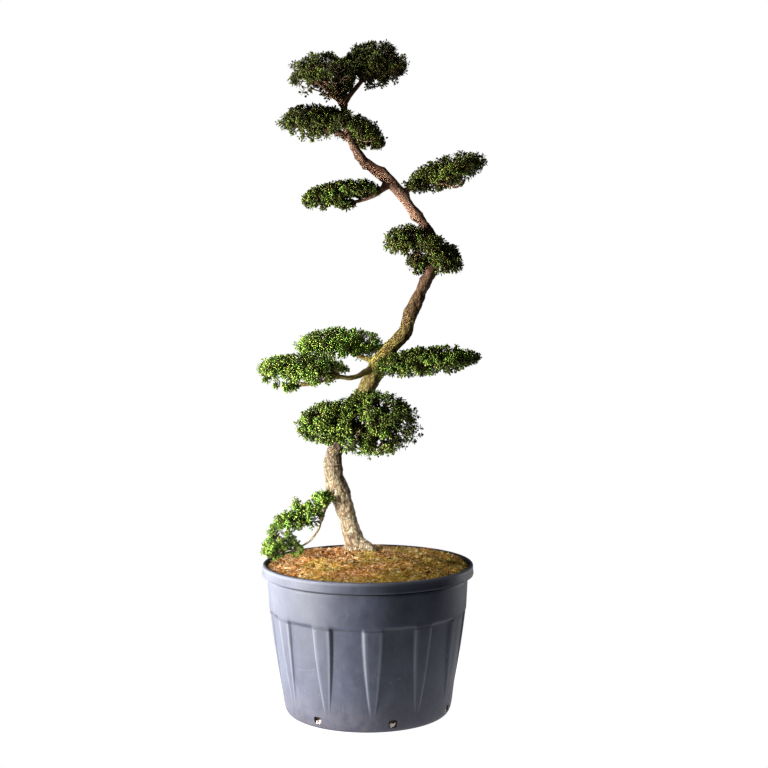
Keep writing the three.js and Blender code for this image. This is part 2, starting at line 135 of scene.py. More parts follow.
# Foliage clouds. Each lobe reaches from its middle to its leaf tips by
# (sideways, front to back, up, down), and lean lifts its right side by degrees.
# Branches carry the cloud. Its shade runs from 0, dark old leaves, to 1, bright young ones, and is partly
# painted light: the clouds are painted darker high up and lighter low down, for light that falls off with
# height. More of young gives it more fresh shoots, of ragged a rougher outline, of full fewer gaps, and of
# under more shoots below.
CLOUDS = {
    "crown_right": dict(
        lobes=[((28, 20, 2425), (123, 108, 90, 84), 0)],
        branches=[[(-91, 0, 2286, 12), (-56, 10, 2327, 10), (-22, 17, 2368, 9), (22, 20, 2412, 6)]],
        shade=0.0, ragged=0.7,
    ),
    "crown_left": dict(
        lobes=[((-168, -40, 2373), (125, 108, 87, 84), 0), ((-110, -12, 2340), (62, 62, 52, 50), 0)],
        branches=[
            [(-90, 0, 2284, 12), (-117, -20, 2316, 10), (-142, -34, 2344, 9), (-172, -40, 2372, 6)],
            [(-91, 0, 2284, 9), (-113, -35, 2323, 6), (-130, -72, 2354, 5), (-148, -94, 2392, 4)],
            [(-93, -2, 2286, 8), (-132, -34, 2318, 6), (-164, -66, 2333, 5), (-199, -90, 2354, 4)],
            [(-93, -2, 2284, 7), (-135, -30, 2304, 5), (-171, -52, 2317, 4), (-208, -62, 2328, 4)],
        ],
        shade=0.08, ragged=1.3, full=0.3, under=0.08,
    ),
    "upper": dict(
        lobes=[
            ((-206, -20, 2206), (116, 105, 68, 66), 0),
            ((-130, -24, 2205), (80, 92, 54, 44), -10),
            ((-52, -26, 2182), (130, 106, 62, 50), -27),
        ],
        branches=[[(-64, -15, 2150, 10), (-122, -18, 2176, 9), (-190, -20, 2196, 6)]],
        shade=0.09,
    ),
    "high_left": dict(
        lobes=[
            ((-154, -20, 1937), (91, 96, 48, 46), 14),
            ((-52, -20, 1961), (102, 94, 38, 32), 0),
            ((-84, -30, 1908), (38, 38, 20, 20), 0),
        ],
        branches=[
            [
                (80, -12, 1990, 13), (46, -16, 1958, 10), (14, -20, 1936, 8), (-51, -20, 1917, 7),
                (-110, -20, 1918, 5),
            ],
        ],
        shade=0.18,
    ),
    "high_right": dict(
        lobes=[((291, 0, 2026), (156, 112, 60, 56), 19)],
        branches=[
            [(122, -2, 1950, 13), (169, 0, 1976, 9), (214, 0, 1992, 8), (290, 0, 2016, 6)],
            [(214, -4, 1990, 6), (258, -34, 1984, 5), (290, -48, 1980, 4), (312, -52, 1970, 4)],
            [(312, -52, 1970, 4), (334, -52, 1971, 4), (346, -47, 1996, 4), (354, -37, 2027, 4)],
        ],
        shade=0.07, under=0.5,
    ),
    "middle": dict(
        lobes=[
            ((147, -50, 1768), (88, 86, 64, 62), 0),
            ((228, -58, 1752), (86, 66, 52, 50), -25),
            ((299, -32, 1697), (59, 70, 65, 66), 0),
            ((186, 6, 1694), (44, 52, 52, 50), 0),
        ],
        branches=[
            [(239, 24, 1775, 12), (205, -14, 1778, 8), (166, -46, 1770, 6)],
            [(243, 20, 1722, 12), (268, -18, 1716, 8), (292, -44, 1708, 5)],
        ],
        shade=0.12,
    ),
    "mid_back": dict(
        lobes=[((-103, 118, 1375), (172, 124, 73, 70), 0)],
        branches=[[(42, -24, 1316, 14), (-22, 50, 1338, 10), (-100, 112, 1368, 6)]],
        shade=1.0, young=0.75, under=0.15, full=0.35,
    ),
    "mid_left": dict(
        lobes=[((-246, -100, 1291), (162, 118, 66, 62), 0), ((-300, -112, 1236), (44, 44, 24, 22), 0)],
        branches=[
            [
                (22, -22, 1288, 15), (-9, -50, 1285, 12), (-34, -70, 1272, 11), (-69, -85, 1265, 10),
                (-110, -95, 1271, 9), (-216, -100, 1286, 5),
            ],
            [(-110, -95, 1271, 8), (-157, -112, 1257, 6), (-205, -124, 1243, 5), (-249, -124, 1238, 4)],
            [(-249, -124, 1238, 4), (-266, -122, 1228, 4), (-284, -120, 1214, 4)],
            [(-205, -124, 1243, 5), (-244, -130, 1250, 4), (-282, -130, 1262, 4)],
        ],
        shade=0.72, full=0.3, under=0.12,
    ),
    "mid_right": dict(
        lobes=[((215, -26, 1322), (207, 124, 56, 54), 5)],
        branches=[[(62, -30, 1352, 14), (118, -32, 1324, 10), (228, -22, 1318, 6)]],
        shade=0.4, full=0.6,
    ),
    "low": dict(
        lobes=[
            ((-149, -10, 1092), (121, 110, 80, 78), 13),
            ((24, -20, 1088), (158, 138, 128, 124), 0),
        ],
        branches=[
            [(-100, 34, 1056, 13), (-150, -14, 1086, 6)],
            [(-56, 10, 1142, 13), (-8, -40, 1112, 9), (44, -44, 1096, 6)],
            [(-40, 4, 1158, 14), (-8, -60, 1106, 12), (12, -66, 1056, 9), (30, -66, 1008, 6)],
        ],
        shade=0.5, ragged=1.4, full=0.22, under=0.6,
    ),
    "hanging": dict(
        lobes=[
            ((-176, 46, 790), (54, 44, 42, 42), 0),
            ((-239, 32, 760), (60, 50, 47, 45), 25),
            ((-214, 30, 728), (46, 46, 38, 36), 0),
            ((-292, 14, 716), (57, 52, 48, 48), 0),
            ((-328, 4, 664), (55, 50, 52, 50), 0),
            ((-346, -12, 614), (57, 52, 48, 38), 0),
            ((-284, -12, 616), (46, 50, 30, 28), 0),
        ],
        branches=[
            [
                (-112, 82, 815, 12), (-152, 56, 782, 9), (-178, 38, 718, 7), (-190, 30, 680, 6),
                (-222, 14, 640, 5), (-268, -4, 614, 4),
            ],
        ],
        shade=1.0, ragged=1.6, full=-0.02, under=0.6, young=1.0,
    ),
}


# Numbers


def hashed(cell, seed):
    """A repeatable number from 0 to 1 for each whole-numbered cell."""
    x, y, z = (cell[..., i] for i in range(3))
    h = (x * 374761393 + y * 668265263 + z * 1442695041 + seed * 974634777) & 0xFFFFFFFF
    h = ((h ^ (h >> 15)) * 2246822519) & 0xFFFFFFFF
    h = ((h ^ (h >> 13)) * 3266489917) & 0xFFFFFFFF
    return ((h ^ (h >> 16)) & 0xFFFFFF) / 0xFFFFFF


CORNERS = np.array(list(itertools.product((0, 1), repeat=3)))
NEIGHBOURS = np.array(list(itertools.product((-1, 0, 1), repeat=3)))


def noise(points, size, seed=0):
    """Smooth noise from -1 to 1, with lumps about size across."""
    p = np.asarray(points, float) / size
    cell = np.floor(p).astype(np.int64)
    f = p - cell
    f = f * f * (3 - 2 * f)
    total = np.zeros(len(p))
    for corner in CORNERS:
        total += np.where(corner, f, 1 - f).prod(1) * hashed(cell + corner, seed)
    return 2 * total - 1


def rough(points, size, seed=0, octaves=3):
    """Noise with finer noise on it."""
    layers = [noise(points, size / 2**i, seed + i) / 1.8**i for i in range(octaves)]
    return sum(layers)


def cracks(points, size, seed):
    """How far each point is from the borders of random cells about size across: 0 on a border."""
    p = np.asarray(points, float) / size
    cell = np.floor(p).astype(np.int64)
    near = np.full((len(p), 2), 9.0)
    for step in NEIGHBOURS:
        other = cell + step
        middle = other + np.stack([hashed(other, seed + i) for i in range(3)], 1)
        gap = far(middle, p)
        near[:, 1] = np.minimum(near[:, 1], np.maximum(near[:, 0], gap))
        near[:, 0] = np.minimum(near[:, 0], gap)
    return near[:, 1] - near[:, 0]


def smooth(low, high, x):
    """0 below low, 1 above high, and an even turn between them."""
    t = np.clip((np.asarray(x, float) - low) / (high - low), 0, 1)
    return t * t * (3 - 2 * t)


def far(a, b):
    """The distance between points."""
    return np.linalg.norm(a - b, axis=-1)


def unit(v):
    return v / np.maximum(np.linalg.norm(v, axis=-1, keepdims=True), 1e-9)


def polar(radius, degrees, height):
    """0 degrees faces the front, -Y, and the angle grows towards +X."""
    angle = np.radians(np.asarray(degrees, float) - 90)
    parts = np.broadcast_arrays(radius * np.cos(angle), radius * np.sin(angle), height)
    return np.stack(parts, -1)


def flat_way(turn, rise=0.0):
    """Directions at angles round the way up, with a rise."""
    return np.stack(np.broadcast_arrays(np.cos(turn), np.sin(turn), rise), -1)


def full_turn(count):
    return 2 * np.pi * np.arange(count) / count


def between(a, b, angle):
    """Directions at angles from a towards b."""
    angle = angle[..., None]
    return a * np.cos(angle) + b * np.sin(angle)


def curve_through(points, step):
    """Points a step apart along the smooth curve through the given ones. Radii are carried along."""
    p = np.array(points, float)
    ends = np.vstack([2 * p[0] - p[1], p, 2 * p[-1] - p[-2]])
    out = []
    for a, b, c, d in zip(ends, ends[1:], ends[2:], ends[3:]):
        count = max(1, round(far(c[:3], b[:3]) / step))
        t = (np.arange(count) / count)[:, None]
        start = b + t * (c - a) / 2 + t**2 * (a - 2.5 * b + 2 * c - d / 2)
        out.append(start + t**3 * ((d - a) / 2 + 1.5 * (b - c)))
    out = np.vstack([*out, p[-1:]])
    out[:, 3] = np.maximum(out[:, 3], p[:, 3].min())
    return out


# Meshes


def piece(name, points, faces, material, slot, flat=False):
    """A mesh object from points in millimetres and arrays of faces, riding on the body."""
    mesh = bpy.data.meshes.new(name)
    mesh.vertices.add(len(points))
    mesh.vertices.foreach_set("co", (np.asarray(points) * MM).astype(np.float32).ravel())
    corners = np.concatenate([f.ravel() for f in faces])
    sizes = np.concatenate([np.full(len(f), f.shape[1]) for f in faces])
    mesh.loops.add(len(corners))
    mesh.loops.foreach_set("vertex_index", corners.astype(np.int32))
    mesh.polygons.add(len(sizes))
    mesh.polygons.foreach_set("loop_start", np.concatenate([[0], np.cumsum(sizes)[:-1]]).astype(np.int32))
    mesh.update(calc_edges=True)
    if not flat:
        mesh.shade_smooth()
    made = bpy.data.objects.new(name, mesh)
    bpy.context.scene.collection.objects.link(made)
    mesh.materials.append(material)
    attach(made, BODY)
    return made


def paint(made, name, values):
    """Gives each vertex a value, or three, that the material reads."""
    values = np.asarray(values, np.float32)
    kind, field = ("FLOAT", "value") if values.ndim == 1 else ("FLOAT_VECTOR", "vector")
    attribute = made.data.attributes.new(name, kind, "POINT")
    attribute.data.foreach_set(field, values.ravel())


def paint_tone(made, each, *parts):
    """Gives the each vertices of every chip, blade or leaf up to three numbers."""
    parts += (np.zeros(len(parts[0])),) * (3 - len(parts))
    paint(made, "tone", np.repeat(np.stack(parts, 1), each, axis=0))


def read(made, field):
    """A mesh's places or normals, in its own metres."""
    values = np.empty(len(made.data.vertices) * 3, np.float32)
    made.data.vertices.foreach_get(field, values)
    return values.reshape(-1, 3).astype(float)


def apply_modifiers(made):
    depsgraph = bpy.context.evaluated_depsgraph_get()
    done = bpy.data.meshes.new_from_object(made.evaluated_get(depsgraph))
    made.modifiers.clear()
    made.data = done


def grid_faces(rows, columns):
    """Quads of a grid of points, stored row by row, whose last column meets its first."""
    r, c = np.meshgrid(np.arange(rows - 1), np.arange(columns), indexing="ij")
    a = r * columns + c
    b = r * columns + (c + 1) % columns
    return np.stack([a, b, b + columns, a + columns], -1).reshape(-1, 4)


def repeated(faces, count, size):
    """The faces of a form of size points, for count such forms."""
    return (faces + size * np.arange(count)[:, None, None]).reshape(-1, faces.shape[1])


def turned(rows):
    """Points and faces of a closed body from rings of points, each turning left round the way up."""
    rows = np.asarray(rows)
    count, columns = rows.shape[:2]
    points = np.vstack([rows.reshape(-1, 3), rows[0].mean(0), rows[-1].mean(0)])
    i = np.arange(columns)
    j = (i + 1) % columns
    top = (count - 1) * columns
    first = np.stack([np.full(columns, len(points) - 2), j, i], 1)
    last = np.stack([np.full(columns, len(points) - 1), i + top, j + top], 1)
    return points, [grid_faces(count, columns), first, last]


def tubes(centres, radii, sides):
    """Closed tubes: centres is tubes x rings x 3 and radii is tubes x rings."""
    count, rings = radii.shape
    way = unit(np.gradient(centres, axis=1))
    side = np.where(np.abs(way[..., 2:]) > 0.8, [1.0, 0, 0], [0, 0, 1.0])
    across = unit(np.cross(side, way))
    ring = between(across[:, :, None], np.cross(way, across)[:, :, None], full_turn(sides))
    points = centres[:, :, None] + ring * radii[:, :, None, None]
    caps = np.stack([np.arange(sides)[::-1], np.arange(sides) + (rings - 1) * sides])
    faces = [repeated(f, count, rings * sides) for f in (grid_faces(rings, sides), caps)]
    return points.reshape(-1, 3), faces


def joined(parts):
    """One set of points and faces from several."""
    start = 0
    points = []
    faces = {}
    for part_points, part_faces in parts:
        points.append(part_points)
        for f in part_faces:
            faces.setdefault(f.shape[1], []).append(f + start)
        start += len(part_points)
    return np.vstack(points), [np.vstack(f) for f in faces.values()]


# Materials


class Graph:
    """Short calls that build one material's nodes. Sizes are in millimetres."""

    def __init__(self, name, specular, **sockets):
        self.material = bpy.data.materials.new(name)
        self.material.use_nodes = True
        self.nodes = self.material.node_tree.nodes
        self.surface = self.nodes["Principled BSDF"]
        self.place = self.node("ShaderNodeTexCoord").outputs["Object"]
        self.set(self.surface, {"Specular IOR Level": specular})
        self.set(self.surface, {key.replace("_", " ").title(): value for key, value in sockets.items()})

    def set(self, node, sockets):
        for key, value in sockets.items():
            if isinstance(value, bpy.types.NodeSocket):
                self.material.node_tree.links.new(value, node.inputs[key])
            elif value is not None:
                node.inputs[key].default_value = value

    def node(self, kind, sockets=None, **settings):
        made = self.nodes.new(kind)
        for key, value in settings.items():
            setattr(made, key, value)
        self.set(made, sockets or {})
        return made

    def math(self, operation, a, b=0.5):
        return self.node("ShaderNodeMath", {0: a, 1: b}, operation=operation).outputs[0]

    def times(self, a, b):
        return self.math("MULTIPLY", a, b)

    def sized(self, size, stretch):
        """The sockets of a texture with forms about size across, and size / stretch tall."""
        place = self.place
        if stretch != 1:
            place = self.node("ShaderNodeMapping", {"Vector": place, "Scale": (1, 1, stretch)}).outputs[0]
        return {"Vector": place, "Scale": 1 / (size * MM)}

    def noise(self, size, detail=3.0, roughness=0.55, stretch=1):
        sockets = {**self.sized(size, stretch), "Detail": detail, "Roughness": roughness}
        return self.node("ShaderNodeTexNoise", sockets).outputs["Fac"]

    def cells(self, size, feature="F1", stretch=1):
        made = self.node("ShaderNodeTexVoronoi", self.sized(size, stretch), feature=feature)
        return made.outputs["Distance"]

    def part(self, vector, number):
        return self.node("ShaderNodeSeparateXYZ", {0: vector}).outputs[number]

    def attribute(self, name):
        return self.node("ShaderNodeAttribute", attribute_name=name).outputs["Fac"]

    def tone(self, number):
        """One of the numbers that paint_tone gives each small piece."""
        return self.part(self.node("ShaderNodeAttribute", attribute_name="tone").outputs["Vector"], number)

    def span(self, value, low, high, to_low=0.0, to_high=1.0):
        sockets = {"Value": value, "From Min": low, "From Max": high, "To Min": to_low, "To Max": to_high}
        return self.node("ShaderNodeMapRange", sockets).outputs["Result"]

    def height(self, low, high, to_low=0.0, to_high=1.0):
        """Turns from to_low to to_high between two heights."""
        return self.span(self.part(self.place, 2), low * MM, high * MM, to_low, to_high)

    def ramp(self, value, stops):
        made = self.node("ShaderNodeValToRGB", {"Fac": value})
        line = made.color_ramp
        while len(line.elements) < len(stops):
            line.elements.new(0.5)
        for element, (at, colour) in zip(line.elements, stops):
            element.position = at
            element.color = (*colour, 1)
        return made.outputs["Color"]

    def mix(self, share, a, b, blend="MIX"):
        a, b = ((*c, 1) if isinstance(c, tuple) else c for c in (a, b))
        made = self.node("ShaderNodeMix", {0: share, 6: a, 7: b}, data_type="RGBA", blend_type=blend)
        return made.outputs[2]

    def tinted(self, colour, tint):
        return self.mix(1.0, colour, tint, "MULTIPLY")

    def bump(self, height, depth, normal=None):
        """depth is the height in millimetres that the whole range of height stands for."""
        sockets = {"Height": height, "Distance": depth * MM, "Strength": 1.0, "Normal": normal}
        return self.node("ShaderNodeBump", sockets).outputs["Normal"]

    def finish(self, colour=None, roughness=None, normal=None):
        self.set(self.surface, {"Base Color": colour, "Roughness": roughness, "Normal": normal})
        return self.material


def tub_material():
    g = Graph("tub_plastic", 0.42)
    plain = g.ramp(g.noise(70, 5, 0.6), [(0.3, (0.024, 0.028, 0.050)), (0.7, (0.038, 0.044, 0.074))])
    # Lighter where rubbed on the rib edges, with a painted highlight on the rim's outer turn
    worn_and_highlit = g.mix(g.times(g.attribute("wear_and_highlight"), 0.5), plain, (0.15, 0.16, 0.20))
    dust = g.times(g.span(g.noise(22, 6, 0.7), 0.38, 0.68), g.height(0, 150, 1.0, 0.0))
    dusty = g.mix(g.times(dust, 0.22), worn_and_highlit, (0.22, 0.16, 0.115))
    smears = g.noise(38, 6, 0.7, 0.6)
    hazy = g.mix(g.span(smears, 0.45, 0.75, 0.0, 0.12), dusty, (0.17, 0.18, 0.21))
    speck = g.span(g.cells(13), 0.04, 0.08, 1.0, 0.0)
    rare = g.span(g.noise(55, 2), 0.60, 0.64)
    specked = g.mix(g.times(g.times(speck, rare), 0.8), hazy, (0.52, 0.50, 0.46))
    scuff = g.span(g.cells(75, "DISTANCE_TO_EDGE", 0.5), 0.0, 0.007, 1.0, 0.0)
    scuffs = g.times(scuff, g.span(g.noise(48, 2), 0.52, 0.58, 0.0, 0.2))
    scuffed = g.mix(scuffs, specked, (0.24, 0.25, 0.29))
    # Painted shade, nearly black, in the groove under the rim, on the rim's inner half and along the step; it
    # also makes them rougher
    painted_shade = g.attribute("painted_shade")
    colour = g.mix(painted_shade, scuffed, (0.010, 0.009, 0.009))
    dull = g.math("ADD", g.span(smears, 0.3, 0.7, 0.54, 0.66), g.times(dust, 0.2))
    scratch = g.span(g.noise(4, 2, 0.5, 0.05), 0.69, 0.75)
    ripples = g.bump(g.noise(26, 3), 0.5, g.bump(g.noise(0.9, 2), 0.10))
    return g.finish(colour, g.math("MAXIMUM", dull, painted_shade), g.bump(scratch, 0.10, ripples))


def soil_material():
    g = Graph("soil_crumb", 0.2, roughness=0.95)
    browns = [(0.25, (0.05, 0.02, 0.006)), (0.42, (0.36, 0.15, 0.034))]
    browns += [(0.58, (0.76, 0.36, 0.09)), (0.78, (0.95, 0.68, 0.32))]
    green = g.ramp(g.noise(4, 5, 0.7), [(0.3, (0.12, 0.08, 0.010)), (0.7, (0.78, 0.54, 0.10))])
    top = g.mix(g.attribute("moss"), g.ramp(g.noise(5, 6, 0.75), browns), green)
    # Below 480 to 520 mm the soil is painted nearly black: painted shade inside the tub, where it shows
    # through the drain holes
    colour = g.mix(g.height(480, 520), (0.016, 0.010, 0.006), top)
    return g.finish(colour, None, g.bump(g.noise(3, 5, 0.7), 2.0))


def chip_material():
    """tone holds each chip's chance and how olive it is."""
    g = Graph("bark_chip", 0.25, roughness=0.85)
    red = [(0.0, (0.09, 0.03, 0.008)), (0.3, (0.60, 0.23, 0.05))]
    red += [(0.65, (0.98, 0.52, 0.19)), (1.0, (0.98, 0.84, 0.58))]
    tan = [(0.0, (0.10, 0.05, 0.010)), (0.3, (0.62, 0.33, 0.045))]
    tan += [(0.65, (0.98, 0.62, 0.12)), (1.0, (0.98, 0.88, 0.54))]
    colour = g.mix(g.tone(1), g.ramp(g.tone(0), red), g.ramp(g.tone(0), tan))
    grain = g.noise(1.6, 3, 0.6)
    streaks = g.mix(g.span(grain, 0.35, 0.65), (0.62, 0.62, 0.62), (1.0, 1.0, 1.0))
    return g.finish(g.tinted(colour, streaks), None, g.bump(grain, 0.5))


def moss_material():
    g = Graph("moss_and_grass", 0.3, roughness=0.6)
    stops = [(0.0, (0.12, 0.10, 0.012)), (0.5, (0.54, 0.45, 0.06)), (1.0, (0.95, 0.82, 0.30))]
    return g.finish(g.ramp(g.tone(0), stops))


def root_material():
    g = Graph("pale_root", 0.3, roughness=0.7)
    colour = g.ramp(g.noise(6, 4), [(0.3, (0.50, 0.36, 0.30)), (0.6, (0.90, 0.80, 0.76))])
    return g.finish(colour, None, g.bump(g.noise(2, 3), 0.3))


def bark_material():
    """Pale and grey at the foot, mossy in the middle and red-brown above, with dark furrows. The colours by
    height are partly painted light: the foot painted lighter as if lit, and bands higher up darker as painted
    shade.
    """
    g = Graph("bark", 0.25)
    share = g.height(550, 2350)
    # Colours up the trunk: partly the bark's own, partly painted light, with a lighter foot and darker
    # painted shade higher up
    light = [
        (0.0, (0.57, 0.51, 0.37)), (0.10, (0.58, 0.53, 0.37)), (0.19, (0.21, 0.19, 0.12)),
        (0.25, (0.135, 0.115, 0.08)), (0.31, (0.15, 0.135, 0.08)), (0.43, (0.30, 0.27, 0.05)),
        (0.53, (0.12, 0.082, 0.030)), (0.60, (0.085, 0.044, 0.022)), (0.77, (0.22, 0.135, 0.088)),
        (0.86, (0.095, 0.05, 0.030)), (0.95, (0.18, 0.10, 0.06)),
    ]
    dark = [
        (0.0, (0.16, 0.09, 0.045)), (0.2, (0.04, 0.026, 0.014)), (0.4, (0.06, 0.038, 0.010)),
        (0.6, (0.025, 0.011, 0.006)), (1.0, (0.026, 0.011, 0.006)),
    ]
    clean = g.ramp(share, light)
    warm = g.tinted(clean, (0.74, 0.52, 0.38))
    pale = g.tinted(clean, (1.4, 1.4, 1.45))
    patched = g.mix(g.span(g.noise(16, 6, 0.72, 0.55), 0.44, 0.54), warm, clean)
    plates = g.mix(g.span(g.noise(11, 5, 0.7, 0.6), 0.53, 0.62), patched, pale)
    blotch = g.times(g.span(g.noise(20, 5, 0.7, 0.7), 0.50, 0.58), g.height(1150, 1450, 0.0, 0.75))
    blotched = g.mix(blotch, plates, g.tinted(plates, (0.45, 0.36, 0.32)))
    fine = g.noise(3.5, 5, 0.7, 0.35)
    off_line = g.math("ABSOLUTE", g.math("SUBTRACT", g.noise(12, 3, 0.6, 0.24), 0.5))
    furrow = g.times(g.span(off_line, 0.0, 0.05, 1.0, 0.0), g.height(1900, 1000, 0.2, 0.85))
    grooves = g.times(g.span(fine, 0.53, 0.38), g.height(1900, 1200, 0.15, 1.0))
    # The fissure map also holds the painted shadow under the low cloud
    deep = g.math("MAXIMUM", g.attribute("fissure"), g.math("MAXIMUM", furrow, grooves))
    colour = g.mix(deep, blotched, g.ramp(share, dark))
    lichen = g.times(g.span(g.noise(16, 5, 0.7), 0.60, 0.68), g.height(1300, 700))
    mottled = g.mix(g.times(lichen, 0.6), colour, (0.44, 0.44, 0.24))
    furrowed = g.bump(fine, 0.9, g.bump(g.math("SUBTRACT", 1.0, furrow), 1.9))
    normal = g.bump(g.noise(1.5, 3, 0.6), 0.5, furrowed)
    return g.finish(mottled, g.span(fine, 0.3, 0.7, 0.9, 0.7), normal)


def twig_material():
    g = Graph("twig_bark", 0.25, roughness=0.8)
    grain = g.noise(7, 4, 0.65)
    colour = g.ramp(grain, [(0.3, (0.045, 0.026, 0.014)), (0.7, (0.20, 0.135, 0.075))])
    return g.finish(colour, None, g.bump(grain, 0.4))


# Leaf colours, each from its darkest leaf at 0 to its lightest at 1
OLD_LEAVES = [(0.0, (0.009, 0.006, 0.002)), (0.5, (0.026, 0.023, 0.004)), (1.0, (0.064, 0.062, 0.009))]
FRESH_LEAVES = [(0.0, (0.09, 0.14, 0.02)), (0.6, (0.24, 0.34, 0.075)), (1.0, (0.32, 0.43, 0.17))]
BRIGHT_LEAVES = [(0.0, (0.07, 0.115, 0.015)), (0.5, (0.175, 0.265, 0.045)), (1.0, (0.275, 0.40, 0.115))]


def leaf_material():
    """tone holds each leaf's chance, its youth and its shade: its cloud's, which is partly painted light,
    made darker for inner leaves as painted shade.
    """
    g = Graph("leaf", 0.15, specular_tint=(1.0, 0.98, 0.7, 1))
    chance = g.tone(0)
    old = g.ramp(chance, OLD_LEAVES)
    bright = g.ramp(chance, BRIGHT_LEAVES)
    green = g.mix(g.tone(1), g.mix(g.tone(2), old, bright), g.ramp(chance, FRESH_LEAVES))
    tint = g.mix(g.span(g.noise(26, 2), 0.42, 0.58), (0.74, 1.0, 0.58), (1.04, 0.95, 0.68))
    spots = g.noise(5, 3)
    mottle = g.mix(g.span(spots, 0.3, 0.7), (0.78, 0.78, 0.78), (1.0, 1.0, 1.0))
    return g.finish(g.tinted(g.tinted(green, tint), mottle), g.span(spots, 0.3, 0.7, 0.42, 0.58))


# Tub


def arc(centre_radius, centre_height, radius, first, last, count):
    """Points of a round stretch of a profile, by angles in degrees from the horizontal."""
    turn = np.radians(np.linspace(first, last, count))
    return [(centre_radius + radius * math.cos(a), centre_height + radius * math.sin(a)) for a in turn]


def tub_profile():
    """The tub's section from the middle of its base, up the outside, over the rim and down inside."""
    foot = [(150, 0), (285, 0), (BASE_RADIUS, 0), (302, 1.5), (307, 5), (311.5, 12)]
    heel = [(CORNER_RADIUS, CORNER_HEIGHT), (317.5, 33), (HEEL_RADIUS, HEEL_HEIGHT)]
    wall = [
        (HEEL_RADIUS + t * (STEP_RADIUS - HEEL_RADIUS), HEEL_HEIGHT + t * (STEP_HEIGHT - HEEL_HEIGHT))
        for t in np.linspace(0.04, 0.985, 20)
    ]
    step = [(361.5, 383), (363.5, 386.5), (367, 389.5), (370.5, 392.5), (372.3, 396)]
    collar = [(COLLAR_LOW_RADIUS, COLLAR_FOOT), (374.2, 424), (375.5, 450), (376.8, 476), (378, 500)]
    under = [(COLLAR_TOP_RADIUS, 511), (377.6, 514), (375.8, 516.5), (375.8, 519.5), (379, 520.8)]
    rim_foot = [(390, RIM_FOOT), (396.5, 521.4), (399.3, 523)]
    rim = [(RIM_RADIUS, 526), (RIM_RADIUS, 530), (399.2, 533), (398.6, 540), (398.4, 548)]
    outer_roll = arc(398.4 - RIM_ROUNDING, TUB_HEIGHT - RIM_ROUNDING, RIM_ROUNDING, 8, 90, 8)
    inner_roll = [(386, 561.6), (383.5, 560.4), (381.8, 558)]
    inside = [(LIP_RADIUS, LIP_HEIGHT), (378.6, 540), (376, 515), (374.5, 500)]
    hidden = [
        (COLLAR_LOW_RADIUS - TUB_WALL, COLLAR_LOW_HEIGHT - 2),
        (STEP_RADIUS - TUB_WALL, STEP_HEIGHT - 4),
        (HEEL_RADIUS - TUB_WALL, HEEL_HEIGHT),
        (BASE_RADIUS - TUB_WALL, TUB_WALL),
        (150, TUB_WALL),
    ]
    outside = foot + heel + wall + step + collar + under + rim_foot + rim + outer_roll
    return outside + inner_roll + inside + hidden


def rib_widths(height):
    """Half a rib's width in degrees, its rise and its slope's half width. All grow from the foot up."""
    share = np.clip((height - RIB_FOOT_HEIGHT) / (STEP_HEIGHT - RIB_FOOT_HEIGHT), 0, 1)
    bend = RIB_SPREAD * share + (1 - RIB_FOOT_SHARE - RIB_SPREAD) * share**2
    edge = RIB_FOOT_EDGE + share * (RIB_EDGE - RIB_FOOT_EDGE)
    return RIB_HALF_WIDTH * (RIB_FOOT_SHARE + bend), RIB_RISE * (2 - share) * share, edge


def rib_columns(half, edge):
    """Angles across one rib and its bay, closest together along the rib's edges."""
    right = [0.45 * half, half - min(1.6 * edge, 0.5 * half), half - min(edge, 0.35 * half)]
    right += [half - min(0.5 * edge, 0.2 * half), half]
    right += [half + 0.5 * edge, half + edge, half + 1.7 * edge]
    bay = RIB_PITCH / 2
    right += [right[-1] + t * (bay - right[-1]) for t in (0.12, 0.35, 0.65)]
    return np.array([-a for a in right[::-1]] + [0.0] + right + [bay])


def rib_rise(offset, half, edge):
    """How much of a rib's height stands at an angle from its middle."""
    return 1 - smooth(half - edge, half + edge, np.abs(offset))


def drain_angles():
    return DRAIN_FIRST_ANGLE + DRAIN_PITCH * np.arange(DRAIN_COUNT)


def drain_cutter():
    """A rounded square plug through the wall for each drain hole."""
    turn = full_turn(16)
    across, rise = (np.sign(v) * np.abs(v) ** 0.6 for v in (np.cos(turn), np.sin(turn)))
    across = DRAIN_WIDTH / 2 * across * (1 + 0.06 * np.sin(3 * turn))
    up = np.outer(DRAIN_MIDDLE + DRAIN_HEIGHT / 2 * rise, [0, 0, 1])
    parts = []
    for angle in drain_angles():
        plug = np.outer(across, polar(1, angle + 90, 0))
        parts.append(turned([plug + polar(radius, angle, 0) + up for radius in DRAIN_PLUG]))
    return joined(parts)


